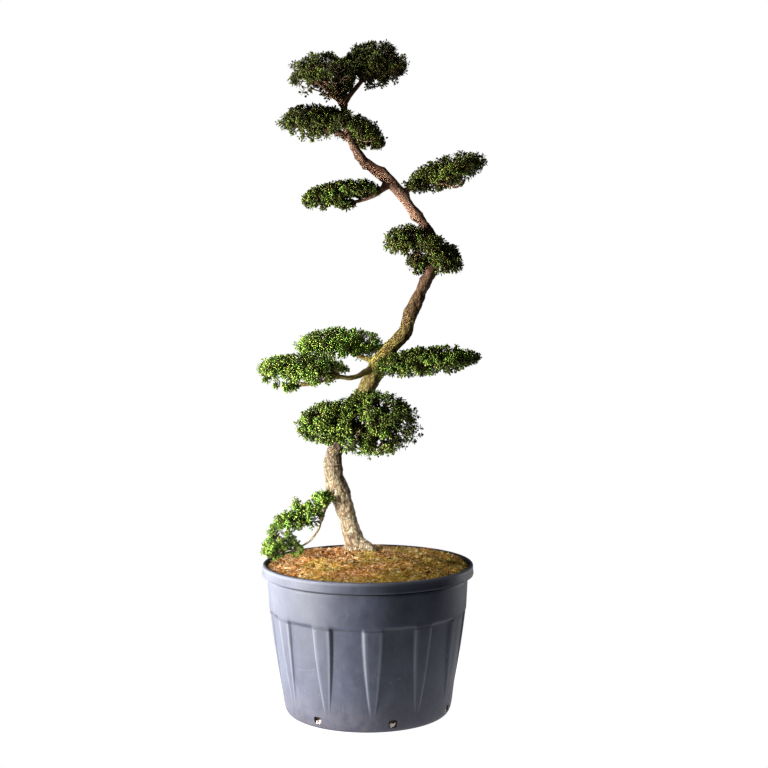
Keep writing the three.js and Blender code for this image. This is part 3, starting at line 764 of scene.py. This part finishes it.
def tub():
    rings = []
    for radius, height in tub_profile():
        share = np.clip((height - HEEL_HEIGHT) / (STEP_HEIGHT - HEEL_HEIGHT), 0, 1)
        half, rib, edge = rib_widths(height)
        offsets = rib_columns(half, edge)
        outside = radius > HEEL_RADIUS + share * (STEP_RADIUS - HEEL_RADIUS) - 2
        step_left = np.clip((COLLAR_LOW_RADIUS - radius) / (COLLAR_LOW_RADIUS - STEP_RADIUS), 0, 1)
        rise = rib * step_left * (STEP_HEIGHT <= height < COLLAR_FOOT)
        if HEEL_HEIGHT < height < STEP_HEIGHT and outside:
            rise = rib
        angles = (RIB_FIRST_ANGLE + np.arange(RIB_COUNT)[:, None] * RIB_PITCH + offsets).ravel()
        rises = np.tile(rise * rib_rise(offsets, half, edge), RIB_COUNT)
        ring = polar(radius + rises, angles, height)
        if height > 2 and (radius > HEEL_RADIUS - 1 or height < HEEL_HEIGHT):
            ring[:, :2] *= (1 + WALL_SWAY * noise(ring, WALL_SWAY_SIZE, 3))[:, None]
        rings.append(ring)
    made = piece("tub_wall", *turned(rings), tub_material(), "tub")
    cutter = piece("drain_cutter", *drain_cutter(), made.data.materials[0], "tub")
    cut = made.modifiers.new("drains", "BOOLEAN")
    cut.operation = "DIFFERENCE"
    cut.solver = "MANIFOLD"
    cut.object = cutter
    apply_modifiers(made)
    bpy.data.objects.remove(cutter)
    made.data.shade_smooth()
    made.data.set_sharp_from_angle(angle=math.radians(SHARP_DEGREES))
    x, y, z = read(made, "co").T / MM
    paint(made, "wear_and_highlight", tub_wear_and_highlight(x, y, z))
    paint(made, "painted_shade", tub_painted_shade(np.hypot(x, y), z))
    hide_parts("tub")


def tub_wear_and_highlight(x, y, z):
    """How rubbed the plastic is on the rib edges, plus a painted highlight along the rim's outer turn."""
    angle = np.degrees(np.arctan2(x, -y)) - RIB_FIRST_ANGLE
    offset = np.abs((angle + RIB_PITCH / 2) % RIB_PITCH - RIB_PITCH / 2)
    half, _, edge = rib_widths(z)
    near_edge = 1 - smooth(0, 1.6 * edge, np.abs(offset - half + edge))
    on_wall = smooth(HEEL_HEIGHT, 110, z) * (z < STEP_HEIGHT)
    # The rim's outer turn is painted as full wear: a painted highlight
    rim = smooth(550, 556, z) * (np.hypot(x, y) > 391)
    return np.clip(near_edge * on_wall + rim, 0, 1)


def tub_painted_shade(radius, z):
    """Painted shade, nearly black: in the groove under the rim, on the rim's inner half and along the step.
    """
    groove = smooth(511, 515, z) * (z < RIM_FOOT + 0.2) * (radius < 397)
    inner = smooth(391, 388, radius) * (z > RIM_FOOT + 1)
    step = 0.6 * smooth(4, 0, np.abs(z - STEP_HEIGHT - 2))
    return np.clip(groove + inner + step, 0, 1)


def drain_roots(random):
    """Short pale roots and grit that show in the drain holes."""

    def draw(low, high):
        return random.uniform(low, high, DRAIN_ROOTS)

    centres = []
    for hole in drain_angles():
        angle = hole + draw(-2, 2)
        height = DRAIN_MIDDLE + draw(-12, 3)
        start = polar(draw(303, 307), angle, height)
        bend = polar(draw(311, 315), angle + draw(-0.9, 0.9), height - draw(-4, 5))
        end = polar(draw(306, 313), angle + draw(-1.4, 1.4), height - draw(-2, 9))
        centres.append(np.stack([start, (start + 2 * bend) / 3, (end + 2 * bend) / 3, end], 1))
    centres = np.vstack(centres)
    centres[..., 2] = np.maximum(centres[..., 2], DRAIN_MIDDLE - DRAIN_HEIGHT / 2 + 2)
    radii = random.uniform(*DRAIN_ROOT_RADIUS, (len(centres), 1)) * np.array([1, 0.9, 0.75, 0.5])
    piece("drain_roots", *tubes(centres, radii, 6), root_material(), "soil")


# Soil


def soil_height(x, y):
    share = np.hypot(x, y) / SOIL_DOME_RADIUS
    lumps = np.sin(x / 37 + 1) * np.cos(y / 43) + np.sin((x + y) / 24)
    return SOIL_EDGE_HEIGHT + SOIL_CROWN * (1 - share**2) + SOIL_LUMP * lumps


def moss_share(x, y):
    """Where moss and grass grow: most at the right and the front, least by the trunk and the left."""
    place = np.stack([x, y, 0 * x], -1)
    return smooth(-0.5, 0.75, 0.0022 * x - 0.0016 * y - 0.12 + 0.75 * rough(place, 90, 41, 2))


def disc_faces(rings):
    """Triangles of a disc whose ring k has 6k points, after one point in the middle."""
    faces = []
    for k in range(rings):
        inner = 0 if k == 0 else 1 + 3 * k * (k - 1)
        outer = 1 + 3 * k * (k + 1)
        for s in range(6):
            j = np.arange(k + 1)
            a = inner + (s * k + j) % max(6 * k, 1)
            b = outer + (s * (k + 1) + j) % (6 * (k + 1))
            c = outer + (s * (k + 1) + j + 1) % (6 * (k + 1))
            faces.append(np.stack([a, b, c], 1))
            faces.append(np.stack([a, c, np.roll(a, -1)], 1)[:-1])
    return np.vstack(faces)


def soil():
    circles = [SOIL_RADIUS * k / SOIL_RINGS * flat_way(full_turn(6 * k)) for k in range(1, SOIL_RINGS + 1)]
    flat = np.vstack([np.zeros((1, 3)), *circles])
    x, y, _ = flat.T
    edge = smooth(SOIL_RADIUS, SOIL_RADIUS - 12, np.hypot(x, y))
    crumbs = 2.6 * rough(flat, 22, 5) + 1.6 * noise(flat, 7, 9)
    top = np.stack([x, y, soil_height(x, y) - SOIL_SINK + crumbs * edge], 1)
    around = 6 * SOIL_RINGS
    base = len(top) - around
    wall = []
    for radius, height in SOIL_SIDE:
        wall.append(top[base:] * [radius / SOIL_RADIUS, radius / SOIL_RADIUS, 0] + [0, 0, height])
    side = grid_faces(len(wall) + 1, around)[:, ::-1] + base
    points = np.vstack([top, *wall, [[0, 0, SOIL_SIDE[-1][1]]]])
    last = len(points) - 1
    i = last - around + np.arange(around)
    bottom = np.stack([np.full(around, last), np.roll(i, -1), i], 1)
    faces = [np.vstack([disc_faces(SOIL_RINGS), bottom]), side]
    made = piece("soil_bed", points, faces, soil_material(), "soil")
    paint(made, "moss", moss_share(points[:, 0], points[:, 1]))
    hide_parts("soil")


def soil_places(random, count, reach=SOIL_RADIUS - 6):
    radius = reach * np.sqrt(random.uniform(0, 1, count))
    turn = random.uniform(0, 2 * np.pi, count)
    x, y = radius * np.cos(turn), radius * np.sin(turn)
    return x, y, soil_height(x, y)


def mulch(random):
    """Bark chips and slivers that lie on the soil in every direction."""
    x, y, z = soil_places(random, CHIPS)
    long = random.gamma(4.0, 2.2, CHIPS) + 4
    wide = long * random.uniform(*CHIP_WIDTH, CHIPS)
    thick = random.uniform(*CHIP_THICKNESS, CHIPS)
    turn = random.uniform(0, 2 * np.pi, CHIPS)
    tilt = random.normal(0, 0.42, (CHIPS, 2))
    along = unit(flat_way(turn, tilt[:, 0]))
    up = unit(np.stack([-tilt[:, 1] * np.sin(turn), tilt[:, 1] * np.cos(turn), np.ones(CHIPS)], 1))
    up = unit(up - along * (up * along).sum(1)[:, None])
    square = [(-1, -1), (1, -1), (1, 1), (-1, 1)]
    corner = np.array([(*place, level) for level in (-1, 1) for place in square])
    shape = corner * (1 + random.uniform(-0.35, 0.15, (CHIPS, 8, 3)))
    size = np.stack([long, wide, thick], 1)[:, None] / 2
    axes = np.stack([along, np.cross(up, along), up], 1)
    points = np.einsum("nvk,nkc->nvc", shape * size, axes)
    points += np.stack([x, y, z + random.uniform(*CHIP_LIFT, CHIPS)], 1)[:, None]
    box = np.array([(0, 3, 2, 1), (4, 5, 6, 7), (0, 1, 5, 4), (1, 2, 6, 5), (2, 3, 7, 6), (3, 0, 4, 7)])
    faces = [repeated(box, CHIPS, 8)]
    made = piece("bark_mulch", points.reshape(-1, 3), faces, chip_material(), "soil", flat=True)
    chance = random.beta(1.1, 1.2, CHIPS)
    olive = np.clip(moss_share(x, y) * 1.3 + random.normal(0, 0.2, CHIPS), 0, 1)
    paint_tone(made, 8, chance, olive)


def fibres(random):
    """Long thin coir and bark fibres that curl over the mulch."""
    x, y, _ = soil_places(random, FIBRES, SOIL_RADIUS - 26)
    turn = random.uniform(0, 2 * np.pi, FIBRES)
    bend = random.normal(0, 0.35, FIBRES)
    reach = random.uniform(*FIBRE_STEP, FIBRES)
    steps = [np.stack([x, y], 1)]
    for i in range(4):
        steps.append(steps[-1] + reach[:, None] * flat_way(turn + bend * i)[:, :2])
    flat = np.stack(steps, 1)
    lift = np.array([0.0, 2.6, 3.6, 2.4, 0.4]) * random.uniform(0.5, 1.6, (FIBRES, 1))
    height = soil_height(flat[..., 0], flat[..., 1]) + lift
    radii = random.uniform(*FIBRE_RADIUS, (FIBRES, 1)) * np.array([0.6, 1, 1, 0.8, 0.4])
    form = tubes(np.concatenate([flat, height[..., None]], -1), radii, 3)
    made = piece("coir_fibres", *form, chip_material(), "soil")
    paint_tone(made, 15, random.uniform(0.35, 1, FIBRES), moss_share(x, y))


def grass(random):
    """Short moss and grass blades in tufts."""
    x, y, _ = soil_places(random, TUFTS * 3, SOIL_RADIUS - 24)
    kept = np.argsort(-moss_share(x, y) + random.uniform(0, 0.75, len(x)))[:TUFTS]
    count = TUFTS * TUFT_BLADES
    spread = random.normal(0, TUFT_SPREAD, (count, 2))
    x = np.repeat(x[kept], TUFT_BLADES) + spread[:, 0]
    y = np.repeat(y[kept], TUFT_BLADES) + spread[:, 1]
    turn = random.uniform(0, 2 * np.pi, count)
    lean = random.uniform(0.3, 1.0, count)
    long = random.gamma(5, 2.2, count) + 4
    root = np.stack([x, y, soil_height(x, y) - 1.5], 1)
    share = np.array([0, 0.4, 0.75, 1.0])[None, :, None]
    out = share**1.6 * (flat_way(turn) * (long * lean)[:, None])[:, None]
    up = share**0.8 * (np.array([0, 0, 1.0]) * (long * (1.1 - 0.8 * lean))[:, None])[:, None]
    radii = random.uniform(*BLADE_RADIUS, (count, 1)) * np.array([1, 0.95, 0.65, 0.15])
    form = tubes(root[:, None] + out + up, radii, 3)
    made = piece("moss_and_grass", *form, moss_material(), "leaf")
    paint_tone(made, 12, random.beta(2, 2, count))


# Wood

KNOTS = 34
KNOT_SIZE = (0.34, 0.6)
KNOT_RISE = (0.28, 0.48)
# Swellings that stand out of the trunk's outline, as [x, y, z, reach, rise]
SWELLINGS = [
    (62, -20, 2040, 17, 8), (-16, -22, 2040, 12, 5), (180, 8, 1855, 10, 4), (144, 2, 1944, 16, 9),
    (137, -25, 1512, 15, 6), (172, -30, 1408, 20, 7), (-88, 62, 850, 20, 5), (-150, 66, 838, 22, 6),
]
# Painted shadow of the low cloud on the bark under it, dark spots carried in the fissure map, as [x, y, z,
# reach]
CLOUD_SHADOW_SPOTS = [(-88, 32, 1000, 36), (-100, 36, 958, 30), (-100, 38, 924, 28), (-92, 40, 884, 24)]
CLOUD_SHADOW_DEPTH = 0.72
WOOD_VOXEL = 3.9
LIMB_STEP = 6
LIMB_SIDES = 20
LIMB_GRAIN_GAP = 3000
BRANCH_FLARE = 0.55
ROOT_FLARE = 0.05
BRANCH_FLARE_REACH = 16


def run_along(line):
    """How far along a line each of its points lies."""
    return np.concatenate([[0], np.cumsum(far(line[1:, :3], line[:-1, :3]))])


def limb_lines():
    """The trunk first, then every root and branch, as dense points with radii."""
    lines = [curve_through(TRUNK, LIMB_STEP)]
    for points in ROOTS + [branch for cloud in CLOUDS.values() for branch in cloud["branches"]]:
        line = curve_through(points, LIMB_STEP)
        flare = ROOT_FLARE if points in ROOTS else BRANCH_FLARE
        line[:, 3] *= 1 + flare * np.exp(-run_along(line) / BRANCH_FLARE_REACH)
        lines.append(line)
    return lines


def limb_rings(line):
    """Rings round a limb, and their frames, which don't twist."""
    across = np.array([1.0, 0, 0])
    frames = []
    for way in unit(np.gradient(line[:, :3], axis=0)):
        across = unit(across - way * (across @ way))
        frames.append((across, np.cross(way, across)))
    frames = np.array(frames)
    ring = between(frames[:, :1], frames[:, 1:], full_turn(LIMB_SIDES))
    return line[:, None, :3] + ring * line[:, 3][:, None, None], frames


def wood(random):
    lines = limb_lines()
    parts = []
    marks = []
    for number, line in enumerate(lines):
        rings, frames = limb_rings(line)
        parts.append(turned(rings))
        run = run_along(line) + LIMB_GRAIN_GAP * number
        marks.append(np.column_stack([line, run, frames[:, 0], frames[:, 1]]))
    made = piece("trunk_and_branches", *joined(parts), bark_material(), "bark")
    remesh = made.modifiers.new("grown", "REMESH")
    remesh.mode = "VOXEL"
    remesh.voxel_size = WOOD_VOXEL * MM
    even = made.modifiers.new("even", "SMOOTH")
    even.factor = 0.5
    even.iterations = 4
    apply_modifiers(made)
    p = read(made, "co") / MM
    grain, radius = grain_space(p, np.vstack(marks))
    depth, lift = bark_relief(grain, radius, p)
    lift += knots(random, lines[0], p)
    p += read(made, "normal") * lift[:, None]
    made.data.vertices.foreach_set("co", (p * MM).astype(np.float32).ravel())
    made.data.update()
    made.data.shade_smooth()
    # Painted shadow of the low cloud, added to the fissure map
    for *place, reach in CLOUD_SHADOW_SPOTS:
        depth = np.maximum(depth, CLOUD_SHADOW_DEPTH * np.exp(-((far(p, place) / reach) ** 4)))
    paint(made, "fissure", depth)
    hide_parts("trunk")


def grain_space(p, marks):
    """Each point in a space whose third axis runs along its limb, and its limb's radius."""
    nearest = []
    for part in np.array_split(p, math.ceil(len(p) / 4000)):
        nearest.append((far(part[:, None], marks[None, :, :3]) - marks[None, :, 3]).argmin(1))
    mark = marks[np.concatenate(nearest)]
    out = p - mark[:, :3]
    across = (out * mark[:, 5:8]).sum(1)
    other = (out * mark[:, 8:11]).sum(1)
    way = np.cross(mark[:, 5:8], mark[:, 8:11])
    along = mark[:, 4] + (out * way).sum(1)
    return np.stack([across, other, along], 1), mark[:, 3]


def bark_relief(grain, radius, p):
    """How deep each point lies in a fissure, from 0 to 1, and how far it moves outwards."""
    coarse = smooth(4, 22, radius)
    low = 1 - smooth(1150, 1900, p[:, 2])
    bent = grain + 5 * np.stack([noise(grain, 24, s) for s in (11, 12, 13)], 1)
    plates = cracks(bent * [1, 1, 0.38], 12, 21)
    fissure = 1 - smooth(0.03, 0.26, plates)
    ring = np.abs(np.sin(grain[:, 2] / 17 + 1.5 * noise(grain, 50, 31)))
    rings = smooth(0.90, 1.0, 1 - ring) * smooth(1250, 1700, p[:, 2])
    deep = np.clip(fissure * (0.35 + 0.65 * low) + 0.5 * rings, 0, 1)
    lumps = 4.2 * rough(grain * [1, 1, 0.7], 38, 51) + 0.9 * noise(grain * [1, 1, 0.4], 8, 61)
    lift = coarse * (lumps - 2.2 * fissure * (0.35 + 0.65 * low)) + 1.7 * rings * coarse
    return deep * (0.3 + 0.7 * coarse), lift


def knots(random, trunk, p):
    """Healed pruning knots on the trunk, low domes with a dimple, and its swellings."""
    lift = np.zeros(len(p))
    for spot in random.choice(np.arange(40, len(trunk) - 12), KNOTS, replace=False):
        *middle, radius = trunk[spot]
        place = np.array(middle) + radius * flat_way(random.uniform(0, 2 * np.pi))
        size = random.uniform(*KNOT_SIZE) * radius
        gap = far(p, place) / size
        dome = np.exp(-(gap**2)) - 0.55 * np.exp(-((gap / 0.38) ** 2))
        lift += random.uniform(*KNOT_RISE) * size * dome
    for *place, reach, rise in SWELLINGS:
        lift += rise * np.exp(-((far(p, place) / reach) ** 2))
    return lift


# Foliage

SHOOT_AREA = 265
SHOOT_LENGTH = (20, 34)
INNER_SHARE = 0.22
INNER_DEPTH = (0.5, 0.8)
INNER_LEAF = 1.25
UNDERSIDE = 0.3
RAGGED = 1.1
FULL = 0.4
CLUMP = 34
SPRIG_SHARE = 0.07
LEAVES = 8
LEAF_LENGTH = (12.5, 20)
LEAF_WIDTH = 0.62
LEAF_DOME = 0.07
AREA_POWER = 1.6
GUIDES = 46
DETOUR = 0.32
TWIG_STEP = 9
TWIG_RADIUS = 0.75
TWIG_TIP_RADIUS = 0.35


def lobe_turn(lobe):
    """The turn of a lobe's lean."""
    c, s = math.cos(math.radians(lobe[2])), math.sin(math.radians(lobe[2]))
    return np.array([[c, 0, s], [0, 1, 0], [-s, 0, c]])


def lobe_reach(lobe, d):
    """How far a lobe reaches along its axes, on the side that the ways d lie."""
    side, depth, up, down = lobe[1]
    return np.where(d[:, 2:] > 0, [side, depth, up], [side, depth, down])


def lobe_points(lobe, d, share):
    """Points of a lobe in the unit directions d, at a share of the way out to its leaf tips."""
    return lobe[0] + (d * lobe_reach(lobe, d) * share[:, None]) @ lobe_turn(lobe)


def lobe_normals(lobe, d):
    return unit(d / lobe_reach(lobe, d)) @ lobe_turn(lobe)


def lobe_share(lobe, p):
    """How far out points lie in a lobe: 1 at its leaf tips."""
    q = (p - lobe[0]) @ lobe_turn(lobe).T
    return np.linalg.norm(q / lobe_reach(lobe, q), axis=1)


def lobe_area(lobe):
    """A lobe's surface, by the usual short formula for an ellipsoid."""
    side, depth, up, down = lobe[1]
    flat = (side * depth) ** AREA_POWER
    upright = ((side + depth) / 2 * (up + down) / 2) ** AREA_POWER
    return 4 * math.pi * (flat / 3 + 2 * upright / 3) ** (1 / AREA_POWER)


def shoots(cloud, random):
    """Where the shoots of a cloud start, and which way and how far each grows."""
    found = []
    ragged = cloud.get("ragged", RAGGED)
    for lobe in cloud["lobes"]:
        middle = lobe[0]
        count = int(lobe_area(lobe) / SHOOT_AREA / (1 - INNER_SHARE))
        i = np.arange(count) + 0.5
        z = 1 - 2 * i / count
        turn = i * GOLDEN_ANGLE + random.normal(0, 0.25, count)
        level = np.sqrt(1 - z * z)
        even = np.stack([level * np.cos(turn), level * np.sin(turn), z], 1)
        d = unit(even + random.normal(0, 0.07, (count, 3)))
        inner = random.uniform(0, 1, count) < INNER_SHARE
        lump = 1 + 0.05 * np.sin(5 * d[:, 0] + middle[2]) * np.cos(4 * d[:, 1] + 3 * d[:, 2])
        lump += 0.06 * ragged * noise(lobe_points(lobe, d, np.ones(count)), 45, 71)
        sprig = (random.uniform(0, 1, count) < SPRIG_SHARE) * random.uniform(0.02, 0.12, count)
        deep = random.uniform(*INNER_DEPTH, count)
        shallow = random.normal(0.965, 0.028, count) + ragged * sprig
        end = lobe_points(lobe, d, lump * np.where(inner, deep, shallow))
        bare = (1 - cloud.get("under", UNDERSIDE)) * smooth(-0.1, -0.55, d[:, 2])
        kept = random.uniform(0, 1, count) < 1 - bare
        kept &= noise(end, 40, 73) > -cloud.get("full", FULL)
        way = lobe_normals(lobe, d) * 0.8 + unit(end - middle) * 0.5 + [0, 0, 0.3]
        way = unit(way + random.normal(0, 0.28, (count, 3)))
        long = random.uniform(*SHOOT_LENGTH, count) * min(1.0, 0.45 + min(lobe[1][2:]) / 110)
        for other in cloud["lobes"]:
            if other is not lobe:
                kept &= lobe_share(other, end) > 0.8
        found.append(np.column_stack([end - way * long[:, None], way, long, inner])[kept])
    return np.vstack(found)


def leaves(name, cloud, found, random, material):
    """Closed, domed oval blades in a spiral up every shoot."""
    each = (len(found), LEAVES)
    one = (len(found), 1)
    base, way, long, inner = found[:, :3], found[:, 3:6], found[:, 6:7], found[:, 7:]
    side = unit(np.cross(way, np.where(np.abs(way[:, 2:]) > 0.9, [1.0, 0, 0], [0, 0, 1.0])))
    other = np.cross(way, side)
    share = (np.arange(LEAVES) + 0.6) / LEAVES
    turn = np.arange(LEAVES) * GOLDEN_ANGLE + random.uniform(0, 2 * np.pi, one)
    out = between(side[:, None], other[:, None], turn + random.normal(0, 0.25, each))
    opening = np.radians(80 - 20 * share**1.5) + random.normal(0, 0.2, each)
    along = between(way[:, None], out, opening)
    along = unit(along + [0, 0, 0.12] + random.normal(0, 0.10, (*each, 3)))
    up = unit(way[:, None] + [0, 0, 0.45] + random.normal(0, 0.16, (*each, 3)))
    up = unit(up - along * (up * along).sum(-1, keepdims=True))
    across = np.cross(up, along)
    size = random.uniform(*LEAF_LENGTH, each) * (1.0 - 0.35 * share**2)
    size *= 1 + (INNER_LEAF - 1) * inner
    root = base[:, None] + way[:, None] * (long * (0.22 + 0.78 * share))[..., None]
    # Across, along and above the blade, as shares of its length: root, side, blunt tip and other side
    left = [(-LEAF_WIDTH / 2, 0.5, -LEAF_DOME), (-LEAF_WIDTH / 4, 0.95, 0)]
    outline = np.array([(0, 0, 0), *left, *((-x, y, z) for x, y, z in left[::-1])])
    blade = across[:, :, None] * outline[:, :1] * random.uniform(0.85, 1.15, (*each, 1, 1))
    blade = blade + along[:, :, None] * outline[:, 1:2] + up[:, :, None] * outline[:, 2:]
    points = root[:, :, None] + blade * size[..., None, None]
    kept = random.uniform(0, 1, each) < 0.97
    points = points[kept].reshape(-1, 3)
    triangles = np.array([(0, 1, 2), (0, 2, 3), (0, 3, 4), (0, 4, 1), (1, 4, 3), (1, 3, 2)])
    faces = [repeated(triangles, kept.sum(), 5)]
    made = piece("leaves_" + name, points, faces, material, "leaf", flat=True)
    bright = cloud["shade"]
    clump = noise(base, CLUMP, 75)[:, None]
    chance = np.clip(random.uniform(0, 1, each) + 0.4 * clump, 0, 1)
    tender = random.uniform(0, 1, one) < cloud.get("young", 0.25 + 0.35 * bright) + 0.2 * clump
    youth = smooth(0.45, 1.0, share) * tender * (1 - inner) * (0.2 + 0.8 * bright)
    # Inner leaves are painted darker: painted shade inside the cloud
    shade = np.clip(bright + random.normal(0, 0.16, one) - 0.4 * inner, 0, 1)
    paint_tone(made, 5, *(part[kept] for part in np.broadcast_arrays(chance, youth, shade)))
    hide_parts("foliage_" + name)


def forked(points, fixed):
    """Joins every point to the first, fixed ones on a short way. Gives each one's parent, and their order."""
    parent = np.full(len(points), -1)
    best = np.full(len(points), np.inf)
    run = np.zeros(len(points))
    waiting = np.arange(len(points)) >= fixed
    order = []
    fresh = range(fixed)
    while waiting.any():
        for node in fresh:
            cost = far(points, points[node]) + DETOUR * run[node]
            better = (cost < best) & waiting
            best[better] = cost[better]
            parent[better] = node
        left = np.where(waiting)[0]
        node = left[best[left].argmin()]
        run[node] = run[parent[node]] + far(points[node], points[parent[node]])
        waiting[node] = False
        order.append(node)
        fresh = [node]
    return parent, order


def twigs(name, cloud, found, random, material):
    """Twigs that fork from the cloud's branches to every shoot, none longer on its way than it needs."""
    carried = []
    for branch in cloud["branches"]:
        line = curve_through(branch, TWIG_STEP)
        near = np.min([lobe_share(lobe, line[:, :3]) for lobe in cloud["lobes"]], axis=0) < 1.1
        near[-1] = True
        carried.append(line[near])
    carried = np.vstack(carried)
    guides = []
    for lobe in cloud["lobes"]:
        d = unit(random.normal(0, 1, (GUIDES, 3)) * [1, 1, 0.7])
        guides.append(lobe_points(lobe, d, random.uniform(0.2, 0.72, GUIDES) ** 0.8))
    points = np.vstack([carried[:, :3], *guides, found[:, :3]])
    fixed = len(carried)
    first_shoot = len(points) - len(found)
    parent, order = forked(points, fixed)
    load = np.zeros(len(points))
    load[first_shoot:] = 1
    for node in reversed(order):
        load[parent[node]] += load[node]
    used = np.array([n for n in order if load[n] > 0])
    start, end = points[parent[used]], points[used]
    radius = TWIG_RADIUS + 0.5 * load**0.42
    radius[:fixed] = np.minimum(radius[:fixed], carried[:, 3])
    thick = np.stack([radius[parent[used]], radius[used], radius[used]], 1)
    thick[:, 0] = np.minimum(thick[:, 0], 1.35 * thick[:, 2])
    middle = (start + end) / 2 + random.normal(0, 0.06, (len(used), 3)) * far(end, start)[:, None]
    paths = np.stack([start, middle, end], 1)
    # The last length of each runs on as the shoot's own stem
    last = used >= first_shoot
    shoot = found[used[last] - first_shoot]
    paths[last, 1] = end[last]
    paths[last, 2] = end[last] + 0.96 * shoot[:, 3:6] * shoot[:, 6:7]
    thick[last, 2] = TWIG_TIP_RADIUS
    piece("twigs_" + name, *tubes(paths, thick, 3), material, "bark")


def foliage():
    leaf = leaf_material()
    bark = twig_material()
    for seed, (name, cloud) in enumerate(CLOUDS.items()):
        random = np.random.default_rng(100 + seed)
        found = shoots(cloud, random)
        leaves(name, cloud, found, random, leaf)
        twigs(name, cloud, found, random, bark)


# Stage, light and camera

WHITE = (1, 1, 1, 1)
WORLD_LIGHT = 0.05
FLOOR_RADIUS = 0.95
FLOOR_PLACE = (0, 0, -0.0005)
CAMERA_PLACE = (0, -5, 1.507)
CAMERA_LENS = 62.37
CAMERA_DOWN = 3.081
CAMERA_RIGHT = 0.6993


def stage():
    g = Graph("white_floor", 0.0, roughness=1.0, base_color=(0.3, 0.3, 0.3, 1), emission_color=WHITE)
    g.set(g.surface, {"Emission Strength": 1.0})
    circle = dict(vertices=96, radius=FLOOR_RADIUS, location=FLOOR_PLACE)
    bpy.ops.mesh.primitive_circle_add(fill_type="NGON", **circle)
    floor = bpy.context.object
    floor.name = "floor"
    floor.data.materials.append(g.material)


def light(name, at, towards, size, power, colour=(1, 1, 1), spread=180):
    """A round soft light whose rays leave it within the given spread in degrees."""
    lamp = bpy.data.lights.new(name, "AREA")
    lamp.shape = "DISK"
    lamp.size = size
    lamp.energy = power
    lamp.color = colour
    lamp.spread = math.radians(spread)
    made = bpy.data.objects.new(name, lamp)
    made.location = at
    made.rotation_euler = (Vector(towards) - Vector(at)).to_track_quat("-Z", "Y").to_euler()
    bpy.context.scene.collection.objects.link(made)


def studio():
    world = bpy.data.worlds.new("studio")
    world.use_nodes = True
    tree = world.node_tree
    back = tree.nodes["Background"]
    back.inputs["Color"].default_value = WHITE
    path = tree.nodes.new("ShaderNodeLightPath")
    strength = tree.nodes.new("ShaderNodeMapRange")
    strength.inputs["To Min"].default_value = WORLD_LIGHT
    strength.inputs["To Max"].default_value = 1.0
    tree.links.new(path.outputs["Is Camera Ray"], strength.inputs["Value"])
    tree.links.new(strength.outputs["Result"], back.inputs["Strength"])
    bpy.context.scene.world = world
    light("key", (-2.53, -0.97, 0.28), (0, 0, 0.3), 0.8, 285, (1.0, 0.97, 0.93))
    light("tree", (-2.4, -1.5, 1.8), (0, 0, 1.65), 1.0, 15.5, (1.0, 0.97, 0.92), 34)
    light("side", (-2.4, 1.3, 0.2), (0, 0, 0.2), 1.4, 105, (0.95, 0.97, 1.0))
    light("front", (-0.8, -3.6, 0.4), (0, 0, 0.6), 0.9, 13, (1.0, 0.97, 0.95))
    light("top", (-0.7, -0.1, 4.0), (0, 0, 0.6), 1.2, 80, (1.0, 0.97, 0.92))
    light("low", (-1.9, -2.6, 1.5), (-0.10, 0.08, 0.78), 0.5, 2.3, (1.0, 0.97, 0.93), 12)
    light("edge", (2.3, 1.5, 0.3), (0.3, 0, 0.3), 0.6, 16)
    view = bpy.context.scene.view_settings
    view.view_transform = "Standard"
    view.look = "None"


def camera():
    made = bpy.data.objects.new("camera", bpy.data.cameras.new("camera"))
    made.data.sensor_width = 36
    made.data.lens = CAMERA_LENS
    made.location = CAMERA_PLACE
    made.rotation_euler = (math.radians(90 - CAMERA_DOWN), 0, math.radians(-CAMERA_RIGHT))
    bpy.context.scene.collection.objects.link(made)
    bpy.context.scene.camera = made


tub()
drain_roots(np.random.default_rng(1))
soil()
mulch(np.random.default_rng(2))
fibres(np.random.default_rng(3))
grass(np.random.default_rng(4))
wood(np.random.default_rng(5))
foliage()
stage()
studio()
camera()
